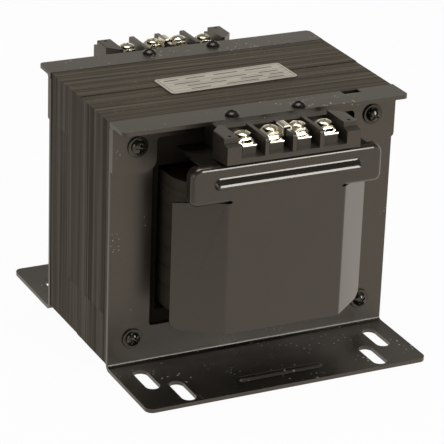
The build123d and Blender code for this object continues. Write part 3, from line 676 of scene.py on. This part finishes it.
@dataclass
class Workshop:
    """What every sub-assembly needs: the frame, the finishes and a way to place pieces.

    Faces are joined within flat_within degrees. Shading breaks where they turn by more than
    sharp_from degrees, and an edge is rounded from edge_from degrees.
    """

    frame: dict
    groups: EffectGroups = field(default_factory=EffectGroups)
    materials: dict[Slot, bpy.types.Material] = field(default_factory=dict)
    placed: list[str] = field(default_factory=list)
    ink: Optional[bpy.types.Material] = None
    flat_within: float = 0.3
    sharp_from: float = 32.0
    edge_from: float = 35.0

    def mix_finishes(self) -> None:
        """Build each finish once."""
        for finish in FINISHES:
            self.materials[finish.slot] = finish.build(self.groups)
        self.ink = PLATE_INK.build(self.groups)

    def dress_nodes(self) -> None:
        """Give every node of the frame the material of its slot."""
        for subpart in self.frame["record"]["subparts"]:
            mesh = self.frame["nodes"][subpart["node"]].data
            mesh.materials.clear()
            mesh.materials.append(self.materials[Slot(subpart["material_slot"])])

    def mesh_copy(self, node: str) -> Shape:
        """Copy a node's mesh with its loose triangles joined and its flat faces whole.

        Args:
            node: The node's name.

        Returns:
            The copy, as a bmesh that the caller places.
        """
        shape = bmesh.new()
        shape.from_mesh(self.frame["nodes"][node].data)
        merge(shape)
        flat = math.radians(self.flat_within)
        bmesh.ops.dissolve_limit(shape, angle_limit=flat, verts=shape.verts, edges=shape.edges)
        return shape

    def place(self, shape: Shape, name: str, slot: Slot, stands_for: Iterable[str] = ()) -> bpy.types.Object:
        """Turn a bmesh into a piece that rides on the body.

        Args:
            shape: The mesh, in the row's frame. It is freed.
            name: The piece's name.
            slot: The finish it takes.
            stands_for: The nodes that it replaces.

        Returns:
            The piece.
        """
        mesh = bpy.data.meshes.new(name)
        shape.to_mesh(mesh)
        shape.free()
        if "custom_normal" in mesh.attributes:
            mesh.attributes.remove(mesh.attributes["custom_normal"])
        mesh.shade_smooth()
        mesh.set_sharp_from_angle(angle=math.radians(self.sharp_from))
        mesh.materials.clear()
        mesh.materials.append(self.materials[slot])
        piece = new_object(name, mesh)
        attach(piece, "root")
        if stands_for:
            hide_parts(*stands_for)
        self.placed.append(name)
        return piece

    def swap(self, node: str, name: str, slot: Slot, edge: float, *changes: Callable[[Shape], None]) -> None:
        """Swap a node for a copy whose sharp edges are rounded a little, so that they catch the light.

        Args:
            node: The node's name.
            name: The piece's name.
            slot: The finish it takes.
            edge: The rounding's width in millimetres.
            *changes: What is done to the copy before it is placed.
        """
        shape = self.mesh_copy(node)
        for change in changes:
            change(shape)
        bevel = self.place(shape, name, slot, [node]).modifiers.new("broken edges", "BEVEL")
        bevel.width = edge * MM
        bevel.segments = 2
        bevel.limit_method = "ANGLE"
        bevel.angle_limit = math.radians(self.edge_from)
        bevel.harden_normals = True
        bevel.use_clamp_overlap = True


@dataclass(frozen=True)
class CoverBead:
    """The long bead on a cover's crossbar, drawn again with a broad shoulder and crest, in millimetres.

    The bead's foot runs round its middle, and its crest lies lower than the middle. Above and
    below the crest, each ring of the skin has a distance from the foot and a rise.
    """

    face: float = 84.475
    skin_from: float = 0.004
    middle: float = 120.475
    half_length: float = 44.4
    half_height: float = 3.6
    end_margin: float = 1.0
    side_margin: float = 0.4
    crest_end: float = 42.2
    crest_drop: float = 1.75
    above: tuple[Span, ...] = (
        (0.2, 0.05), (0.4, 0.13), (0.65, 0.24), (0.9, 0.36), (1.15, 0.58),
        (1.9, 1.24), (3.1, 2.22), (3.5, 2.5), (3.9, 2.7), (5.1, 3.1),
    )
    below: tuple[Span, ...] = (
        (0.1, 0.08), (0.25, 0.3), (0.4, 0.7), (0.6, 1.3), (0.8, 1.85),
        (1.05, 2.4), (1.25, 2.72), (1.4, 2.92), (1.5, 3.0), (1.6, 3.08),
    )

    def on_bead(self, face: bmesh.types.BMFace) -> bool:
        """Whether a face of the cover's mesh belongs to the bead's outer skin."""
        spot = face.calc_center_median() / MM
        along = abs(spot.x) < self.half_length + self.end_margin
        across = abs(spot.z - self.middle) < self.half_height + self.side_margin
        return along and across and abs(spot.y) > self.face + self.skin_from and face.normal.y * spot.y > 0

    def reshape(self, shape: Shape) -> None:
        """Cut the bead's skin away and draw it again from the edge that is left.

        Args:
            shape: The cover's mesh, in metres.
        """
        skin = [face for face in shape.faces if self.on_bead(face)]
        side = math.copysign(1.0, skin[0].calc_center_median().y)
        bmesh.ops.delete(shape, geom=skin, context="FACES")
        edges = [edge for edge in shape.edges if edge.is_boundary]
        loop = list(dict.fromkeys(vert for edge in edges for vert in edge.verts))
        starts = [vert.co / MM for vert in loop]
        foot_above, foot_below = self.half_height + self.crest_drop, self.half_height - self.crest_drop
        for (up, up_rise), (down, down_rise) in zip(self.above, self.below):
            edges, loop = grow(shape, edges, loop)
            for vert, start in zip(loop, starts):
                along = max(-self.crest_end, min(self.crest_end, start.x))
                crest = Vector((along, start.y, self.middle - self.crest_drop))
                upward = (1 + (start - crest).normalized().z) / 2
                share = down / foot_below * (1 - upward) + up / foot_above * upward
                rise = down_rise * (1 - upward) + up_rise * upward
                spot = start.lerp(crest, share)
                vert.co = Vector((spot.x, side * (self.face + rise), spot.z)) * MM
        seal(shape, edges)


@dataclass(frozen=True)
class FlangeJoint:
    """The upper bracket's bend, drawn out until the flange meets the core's top, in millimetres."""

    bend_out: float = 47.675
    bend_up: float = 142.275
    radius: float = 4.1
    near: float = 0.05
    meets: float = 41.45
    corner: float = 0.09
    lip: float = 1.9
    open_from: float = 52.5
    open_to: float = 63.0
    open_ramp: float = 0.2
    rear_gap: float = 0.7

    def drawn_out(self, turn: float) -> Span:
        """Where a point of the bend goes.

        Args:
            turn: Its angle round the bend, 0 at the flange and 1 at the web.

        Returns:
            Its distance from the middle along Y, and its height.
        """
        top, foot = self.bend_up + self.radius, self.bend_out - self.radius
        if abs(turn - 0.5) < self.corner:
            return self.meets, top
        if turn < 0.5:
            return self.bend_out + (self.meets - self.bend_out) * turn * 2, top
        if turn < 0.75:
            return self.meets, top - self.lip * (turn - 0.5) * 4
        share, low = turn * 4 - 3, top - self.lip
        return self.meets + (foot - self.meets) * share, low + (self.bend_up - low) * share

    def on_bend(self, spot: Vector) -> bool:
        """Whether a point lies on the bend's outer face, between its two ends."""
        in_by, up_by = self.bend_out - abs(spot.y), spot.z - self.bend_up
        round_it = abs(math.hypot(in_by, up_by) - self.radius) < self.near
        return in_by > self.near and up_by > self.near and round_it

    def close(self, shape: Shape) -> None:
        """Draw the bend out, but for a short stretch at the front that stays open.

        Args:
            shape: The bracket's mesh, in metres.
        """
        side = -math.copysign(1.0, sum(vert.co.y for vert in shape.verts))
        ends = (self.open_from, self.open_from + self.open_ramp, self.open_to - self.open_ramp, self.open_to)
        for x in ends if side > 0 else ():
            cut_through(shape, Vector((x * MM, 0.0, 0.0)), (1, 0, 0))
        for vert in shape.verts:
            spot = vert.co / MM
            left_open = side > 0 and self.open_from + self.near < spot.x < self.open_to - self.near
            if self.on_bend(spot) and not left_open:
                turn = math.atan2(self.bend_out - abs(spot.y), spot.z - self.bend_up)
                out, rise = self.drawn_out(turn / (math.pi / 2))
                out = out if side > 0 else max(out, self.meets + self.rear_gap)
                vert.co.y, vert.co.z = -side * out * MM, rise * MM
        merge(shape)


@dataclass
class SheetParts:
    """The pressed brackets and covers, with their edges broken."""

    shop: Workshop
    bracket_edge: float = 0.5
    cover_edge: float = 0.3
    bead: CoverBead = CoverBead()
    joint: FlangeJoint = FlangeJoint()
    return_beyond: float = 52.0
    return_rim: float = 79.475
    rim_near: float = 0.4
    return_extra: float = 2.2
    return_above: float = 108.9
    cut_beyond: float = 33.7
    cut_from: float = 106.3
    cut_to: float = 108.0
    wing_top: float = 108.3
    cut_end: float = 31.0
    cut_end_from: float = 109.9
    cut_end_to: float = 111.1
    cut_shift: float = 1.2

    def narrow_cuts(self, shape: Shape) -> None:
        """Close the relief cuts to hairlines: raise the wings' top edges and shorten the cuts.

        Args:
            shape: The cover's mesh, in metres.
        """
        for vert in shape.verts:
            spot = vert.co / MM
            out = abs(spot.x)
            if out > self.cut_beyond and self.cut_from < spot.z < self.cut_to:
                vert.co.z = self.wing_top * MM
            elif self.cut_end < out < self.cut_beyond and self.cut_end_from < spot.z < self.cut_end_to:
                shift = Vector((math.copysign(self.cut_shift, spot.x), 0.0, -self.cut_shift))
                vert.co += shift * MM
        merge(shape)

    def deepen_returns(self, shape: Shape) -> None:
        """Draw the back rims of the crossbar's two side returns further back.

        Args:
            shape: The cover's mesh, in metres.
        """
        for vert in shape.verts:
            spot = vert.co / MM
            outside = abs(spot.x) > self.return_beyond and spot.z > self.return_above
            if outside and abs(abs(spot.y) - self.return_rim) < self.rim_near:
                vert.co.y -= math.copysign(self.return_extra * MM, spot.y)

    def build(self) -> None:
        """Swap each sheet part for one with finer edges."""
        cover_changes = (self.bead.reshape, self.deepen_returns, self.narrow_cuts)
        for end in ENDS:
            for part, slot, edge, changes in (
                ("lower_bracket", Slot.BRACKET, self.bracket_edge, ()),
                ("upper_bracket", Slot.BRACKET, self.bracket_edge, (self.joint.close,)),
                ("coil_cover", Slot.COVER, self.cover_edge, cover_changes),
            ):
                node = f"{end}_{part}"
                self.shop.swap(node, f"{node}_sheet", slot, edge, *changes)


@dataclass
class LaminatedCore:
    """The stack of sheets, in bundles that sit a hair out of line."""

    shop: Workshop
    seed: int = 11
    thinnest: float = 0.7
    thickest: float = 4.2
    groove: float = 0.05
    side_play: float = 0.03
    top_play: float = 0.03

    def bundles(self, half: float) -> list[float]:
        """Where one bundle ends and the next begins along Y, for half the stack's depth."""
        draw = random.Random(self.seed)
        edges, place = [], -half + draw.uniform(self.thinnest, self.thickest)
        while place < half - self.thinnest:
            edges.append(place)
            place += draw.uniform(self.thinnest, self.thickest)
        return edges

    def stagger(self, shape: Shape, edges: list[float], seed: int) -> None:
        """Cut a mesh at the bundles' edges and shift each bundle.

        Args:
            shape: The sheets' mesh, in metres.
            edges: The bundles' edges in millimetres.
            seed: The start of the random draw.
        """
        for edge in edges:
            for side in (-0.5, 0.5):
                cut_through(shape, Vector((0.0, (edge + side * self.groove) * MM, 0.0)), (0, 1, 0))
        draw = random.Random(seed)
        shifts = []
        for _ in range(len(edges) + 1):
            aside = draw.uniform(-self.side_play, self.side_play)
            shifts.append(Vector((aside, 0.0, -draw.uniform(0.0, self.top_play))) * MM)
        for vert in shape.verts:
            vert.co += shifts[sum(vert.co.y > edge * MM for edge in edges)]

    def build(self) -> None:
        """Swap both core nodes for staggered ones."""
        low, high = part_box("core_e_laminations")
        edges = self.bundles((high[1] - low[1]) / 2 / MM)
        for number, node in enumerate(("core_e_laminations", "core_i_laminations")):
            shape = self.shop.mesh_copy(node)
            self.stagger(shape, edges, self.seed + number)
            self.shop.place(shape, f"{node}_sheets", Slot.LAMINATION, [node])


@dataclass
class StackBolts:
    """The four long screws through the stack, with their washers and nuts."""

    shop: Workshop
    across: float = 71.435
    low: float = 17.79
    high: float = 132.085
    low_seat: float = 43.575
    high_seat: float = 45.875
    washer_thickness: float = 1.1
    washer_radius: float = 5.9
    washer_edge: float = 0.3
    hole_play: float = 0.3
    head: ScrewHead = ScrewHead(4.1, 3.0, 0.62, 0.62, 0.5, 1.5, 0.32)
    shank_radius: float = 2.4
    shank_play: float = 0.08
    nut_flats: float = 9.5
    nut_height: float = 4.0
    tail: float = 2.0
    thread_pitch: float = 0.8
    thread_depth: float = 0.1
    thread_start: float = 0.35
    thread_under: float = 0.4
    spins: tuple[float, ...] = (68.0, 32.0, 84.0, 55.0)

    def places(self) -> Iterable[tuple[float, float, float, float]]:
        """Each screw's X, height, washer seat and turn."""
        spins = iter(self.spins)
        for height, seat in ((self.low, self.low_seat), (self.high, self.high_seat)):
            for side in (-1, 1):
                yield side * self.across, height, seat, next(spins)

    def build(self) -> None:
        """Make the screws, washers and nuts."""
        bolts, washers, nuts = bmesh.new(), bmesh.new(), bmesh.new()
        lean = turned(90.0, "X")
        for x, height, seat, spin in self.places():
            out = seat + self.washer_thickness
            front = Matrix.Translation((x, -out, height)) @ lean
            length = 2 * out + self.nut_height + self.tail
            self.head.drive(bolts, front, spin, self.shank_radius - self.shank_play, length)
            turns = int((self.tail + self.thread_under) / self.thread_pitch)
            root = self.shank_radius - self.thread_depth
            start = self.thread_start - length
            add_to(bolts, thread(root, self.thread_depth, self.thread_pitch, start, turns), front)
            for end in ENDS:
                side = -x if end == "rear" else x
                back = end_turn(end) @ Matrix.Translation((side, -seat, height)) @ lean
                hole = self.shank_radius + self.hole_play
                disc = washer(self.washer_radius, hole, self.washer_thickness, self.washer_edge)
                add_to(washers, disc, back)
            behind = Matrix.Translation((x, out + self.nut_height, height)) @ lean
            nut = hex_nut(self.nut_flats, self.nut_height, self.shank_radius)
            add_to(nuts, nut, behind @ turned(spin))
        for shape, part in ((bolts, "bolts"), (washers, "washers"), (nuts, "nuts")):
            self.shop.place(shape, f"stack_{part}", Slot.ZINC, [f"core_{part}"])


@dataclass
class TerminalEnd:
    """A moulded terminal block with its plates, saddles, link and screws."""

    shop: Workshop
    end: str
    pitch: float = 16.3
    ways: int = 4
    out: float = 76.075
    plate_top: float = 140.875
    saddle_stack: float = 2.3
    link_stack: float = 3.3
    terminal_head: ScrewHead = ScrewHead(4.1, 2.3, 0.84, 0.6, 0.72, 1.9, 0.58)
    terminal_shank: float = 1.7
    terminal_reach: float = 8.0
    spins: tuple[float, ...] = (20.0, 70.0, 130.0, 45.0)
    flange_head: ScrewHead = ScrewHead(3.95, 2.4, 0.62, 0.62, 0.55, 1.4, 0.3)
    flange_x: float = 20.2
    flange_out: float = 54.075
    flange_top: float = 146.375
    flange_shank: float = 2.0
    flange_spin: float = 30.0
    shank_play: float = 0.05
    shank_below_nut: float = 1.2
    nut_under: float = 125.775
    nut_height: float = 3.0
    nut_flats: float = 7.9
    block_edge: float = 0.7
    metal_edge: float = 0.14

    def terminal_screws(self) -> Shape:
        """The four wire screws, each on its saddle."""
        screws = bmesh.new()
        for number, spin in enumerate(self.spins):
            x = (number - (self.ways - 1) / 2) * self.pitch
            linked = number in (self.ways // 2 - 1, self.ways // 2)
            seat = self.plate_top + (self.link_stack if linked else self.saddle_stack)
            place = end_turn(self.end) @ Matrix.Translation((x, -self.out, seat))
            self.terminal_head.drive(screws, place, spin, self.terminal_shank, self.terminal_reach)
        return screws

    def flange_screws(self) -> tuple[Shape, Shape]:
        """The two screws that hold the block under the flange, and their nuts."""
        screws, nuts = bmesh.new(), bmesh.new()
        for side in (-1, 1):
            place = end_turn(self.end) @ Matrix.Translation((side * self.flange_x, -self.flange_out, 0.0))
            top = place @ Matrix.Translation((0.0, 0.0, self.flange_top))
            length = self.flange_top - self.nut_under + self.shank_below_nut
            spin = side * self.flange_spin
            self.flange_head.drive(screws, top, spin, self.flange_shank - self.shank_play, length)
            nut = hex_nut(self.nut_flats, self.nut_height, self.flange_shank)
            add_to(nuts, nut, place @ Matrix.Translation((0.0, 0.0, self.nut_under)))
        return screws, nuts

    def build(self) -> None:
        """Make this end's moulding and metal."""
        shop, end = self.shop, self.end
        shop.swap(f"{end}_terminal_block", f"{end}_block_moulding", Slot.BLOCK, self.block_edge)
        for part in ("terminal_plates", "clamp_saddles", "terminal_link"):
            shop.swap(f"{end}_{part}", f"{end}_{part}_metal", Slot.PLATING, self.metal_edge)
        shop.place(self.terminal_screws(), f"{end}_wire_screws", Slot.PLATING, [f"{end}_terminal_screws"])
        for shape, part in zip(self.flange_screws(), ("screws", "nuts")):
            shop.place(shape, f"{end}_flange_{part}", Slot.BLACK_SCREW, [f"{end}_block_{part}"])


@dataclass
class CoilWrap:
    """The varnished tape round the coil, laid in overlapping turns."""

    shop: Workshop
    tape: float = 11.0
    lean: float = 0.05
    lap: float = 0.16
    step: float = 0.12
    last_under: float = 2.0

    def build(self) -> None:
        """Swap the plain wrap for one with its turns showing."""
        node = "coil_wrap"
        low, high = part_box(node)
        shape = self.shop.mesh_copy(node)
        slope = Vector((self.lean, 0.0, 1.0)).normalized()
        places = []
        rise = low[2] / MM + self.tape
        while rise < high[2] / MM - self.last_under:
            places.append(rise)
            for side in (-0.5, 0.5):
                cut_through(shape, Vector((0.0, 0.0, (rise + side * self.step) * MM)), slope)
            rise += self.tape
        for vert in shape.verts:
            level = vert.co.dot(slope) / slope.z / MM
            share = min((abs(level - place) / self.tape for place in places if level <= place), default=1.0)
            flat = Vector((vert.co.x / high[0], vert.co.y / high[1], 0.0))
            if flat.length:
                vert.co += flat.normalized() * self.lap * MM * (1 - min(share, 1.0))
        self.shop.place(shape, "coil_wrap_tape", Slot.WRAP, [node])


@dataclass
class RatingPlate:
    """The foil plate on the stack, with a ruled but empty form.

    A row is a ruled line's place across the plate. A mark is a bar's middle and length.
    """

    shop: Workshop
    middle: Span = (2.2, -0.9)
    top: float = 146.875
    turn: float = 1.7
    length: float = 79.0
    width: float = 24.0
    edge: float = 0.12
    margin: float = 1.6
    rule: float = 0.32
    row_rule: float = 0.192
    ink: float = 0.03
    rows: Point = (-6.2, -1.6, 3.2)
    mark_width: float = 1.1
    marks: tuple[Point, ...] = (
        (-31.0, 7.2, 9.0), (-16.0, 7.2, 12.0), (3.0, 7.2, 15.0), (24.0, 7.2, 17.0),
        (-24.0, 0.8, 16.0), (2.0, 0.8, 22.0), (27.0, 0.8, 12.0),
        (-14.0, -3.9, 24.0), (14.0, -3.9, 14.0), (30.0, -3.9, 9.0),
        (-20.0, -8.6, 12.0), (6.0, -8.6, 20.0), (27.0, -8.6, 10.0),
    )

    def bar(self, shape: Shape, x: float, y: float, length: float, width: float) -> None:
        """Add one printed bar to a mesh in millimetres, centred at a place on the plate."""
        size = Matrix.Diagonal((length, width, 2 * self.ink, 1.0))
        bmesh.ops.create_cube(shape, size=1.0, matrix=Matrix.Translation((x, y, 0.0)) @ size)

    def build(self) -> None:
        """Make the foil with its broken edge, and the ruling on it."""
        self.shop.swap("rating_plate", "rating_plate_foil", Slot.FOIL, self.edge)
        form = bmesh.new()
        half, rise = self.length / 2 - self.margin, self.width / 2 - self.margin
        for side in (-1, 1):
            self.bar(form, 0.0, side * rise, 2 * half, self.rule)
            self.bar(form, side * half, 0.0, self.rule, 2 * rise)
        for y in self.rows:
            self.bar(form, 0.0, y, 2 * half, self.row_rule)
        for x, y, length in self.marks:
            self.bar(form, x, y, length, self.mark_width)
        target = bmesh.new()
        add_to(target, form, Matrix.Translation((*self.middle, self.top)) @ turned(self.turn))
        ruling = self.shop.place(target, "rating_plate_ruling", Slot.FOIL)
        ruling.data.materials[0] = self.shop.ink


@dataclass
class Camera:
    """The camera, at the photograph's viewing angle. Its yaw is from +Y towards +X, in degrees."""

    place: Point = (-558.10, -1121.85, 589.82)
    yaw: float = 26.584
    pitch: float = -22.946
    roll: float = 2.121
    focal_px: float = 2374.13
    frame_px: float = 444.0

    def build(self) -> None:
        """Make the camera and set it as the scene's."""
        data = bpy.data.cameras.new("camera")
        data.sensor_width = 36.0
        data.lens = self.focal_px / self.frame_px * data.sensor_width
        data.clip_start, data.clip_end = 0.05, 50.0
        turn = turned(-self.yaw) @ turned(90.0 + self.pitch, "X") @ turned(self.roll)
        camera = new_object("camera", data)
        camera.matrix_world = Matrix.Translation(Vector(self.place) * MM) @ turn
        bpy.context.scene.camera = camera


@dataclass
class Lamp:
    """One soft area lamp, in metres."""

    name: str
    place: Point
    aim: Point
    size: Span
    watts: float
    colour: Point = (1.0, 0.96, 0.9)

    def build(self) -> None:
        """Hang the lamp and point it."""
        data = bpy.data.lights.new(self.name, "AREA")
        data.shape = "RECTANGLE"
        data.size, data.size_y = self.size
        data.energy = self.watts
        data.color = self.colour
        lamp = new_object(self.name, data)
        lamp.visible_camera = False
        towards = (Vector(self.aim) - Vector(self.place)).to_track_quat("-Z", "Y")
        lamp.matrix_world = Matrix.Translation(self.place) @ towards.to_matrix().to_4x4()


@dataclass
class Studio:
    """A pale floor and a white surround with soft lamps.

    Floor_half and floor_left are in metres. A left span runs from the dimmed side to the full
    tone, and the overhead span from the white horizon up to the dome.
    """

    floor_half: float = 4.0
    floor_drop: float = 0.1
    floor_colour: Colour = grey(0.86)
    floor_roughness: float = 0.9
    shade_kept: float = 0.04
    surround: float = 0.4
    overhead: Span = (0.13, 0.46)
    dome: Colour = grey(0.2)
    white: Colour = grey(1.0)
    warmth: Colour = (1.0, 0.95, 0.86, 1.0)
    sky_warmth: Colour = (1.0, 0.95, 0.85, 1.0)
    left_share: float = 0.7
    floor_left: Span = (-0.3, 0.0)
    sky_left: Span = (-0.8, 0.0)
    lamps: tuple[Lamp, ...] = (
        Lamp("key softbox", (0.64, -1.30, 0.66), (0, -0.05, 0.1), (0.34, 0.8), 9.0, (0.92, 0.97, 1.0)),
        Lamp("overhead softbox", (-0.05, 0.1, 1.5), (0, 0, 0.05), (1.0, 1.0), 11.0),
        Lamp("left softbox", (-1.4, -0.4, 0.7), (0, 0, 0.08), (0.7, 0.7), 2.0),
    )

    def seen_directly(self, made: NodeTree) -> Socket:
        """A value in a tree that is 1 for rays that show the background."""
        path = made.add("LightPath")
        seen = made.math("MAXIMUM", path.outputs["Is Camera Ray"], path.outputs["Is Glossy Ray"])
        return made.math("MAXIMUM", seen, path.outputs["Is Transmission Ray"])

    def dimmed_left(self, made: NodeTree, tone: Colour, across: Socket, left: Span) -> Socket:
        """The tone in which reflections see the surround, dimmer to the left along X."""
        dim = (*(c * self.left_share for c in tone[:3]), 1.0)
        return made.blend(made.ramp(across, *left), dim, tone)

    def build_floor(self) -> None:
        """Lay the floor, white where it is seen from above, with a little of its shadow kept."""
        shape = bmesh.new()
        bmesh.ops.create_grid(shape, x_segments=1, y_segments=1, size=self.floor_half,
                              matrix=Matrix.Translation((0.0, 0.0, -self.floor_drop * MM)))
        mesh = bpy.data.meshes.new("floor")
        shape.to_mesh(mesh)
        shape.free()
        material, made, shader = new_material("pale floor")
        made.put(shader, Base_Color=self.floor_colour, Roughness=self.floor_roughness)
        made.put(shader, Specular_IOR_Level=0.0)
        reflected = made.add("LightPath").outputs["Is Glossy Ray"]
        spot = made.add("SeparateXYZ", Vector=made.add("TexCoord").outputs["Object"])
        shown = self.dimmed_left(made, self.warmth, spot.outputs["X"], self.floor_left)
        glow = made.add("Emission", Color=made.blend(reflected, self.white, shown), Strength=1.0)
        part = made.times(self.seen_directly(made), 1 - self.shade_kept)
        lit = made.add("MixShader", i0=part, i1=shader.outputs[0], i2=glow.outputs[0])
        below = made.add("NewGeometry").outputs["Backfacing"]
        clear = made.add("BsdfTransparent")
        mixed = made.add("MixShader", i0=below, i1=lit.outputs[0], i2=clear.outputs[0])
        made.put(material.node_tree.nodes["Material Output"], Surface=mixed.outputs[0])
        mesh.materials.append(material)
        new_object("floor", mesh)

    def build_surround(self) -> None:
        """Set the world: white at the horizon where it is seen, dimmer overhead, and softer as light."""
        world = bpy.data.worlds.new("surround")
        bpy.context.scene.world = world
        world.use_nodes = True
        made = NodeTree(world.node_tree)
        aim = made.add("SeparateXYZ", Vector=made.add("TexCoord").outputs["Generated"])
        plain = made.blend(made.ramp(aim.outputs["Z"], *self.overhead), self.white, self.dome)
        reflected = made.add("LightPath").outputs["Is Glossy Ray"]
        shown = self.dimmed_left(made, self.sky_warmth, aim.outputs["X"], self.sky_left)
        colour = made.blend(reflected, plain, made.blend(1.0, plain, shown, "MULTIPLY"))
        strength = made.plus(made.times(self.seen_directly(made), 1 - self.surround), self.surround)
        made.put(world.node_tree.nodes["Background"], Color=colour, Strength=strength)

    def build(self) -> None:
        """Set up the floor, the surround and the lamps."""
        self.build_floor()
        self.build_surround()
        for lamp in self.lamps:
            lamp.build()
        bpy.context.scene.view_settings.view_transform = "Standard"


def main() -> None:
    """Build the studio and dress the transformer, then log the pieces it placed."""
    logging.basicConfig(level=logging.INFO, format="%(name)s: %(message)s")
    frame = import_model()
    Camera().build()
    Studio().build()
    shop = Workshop(frame)
    shop.mix_finishes()
    shop.dress_nodes()
    assemblies = [LaminatedCore(shop), CoilWrap(shop), SheetParts(shop), StackBolts(shop)]
    assemblies += [TerminalEnd(shop, end) for end in ENDS]
    assemblies.append(RatingPlate(shop))
    for assembly in assemblies:
        assembly.build()
    for name in shop.placed:
        log.info("placed %s", name)


if __name__ == "__main__":
    main()
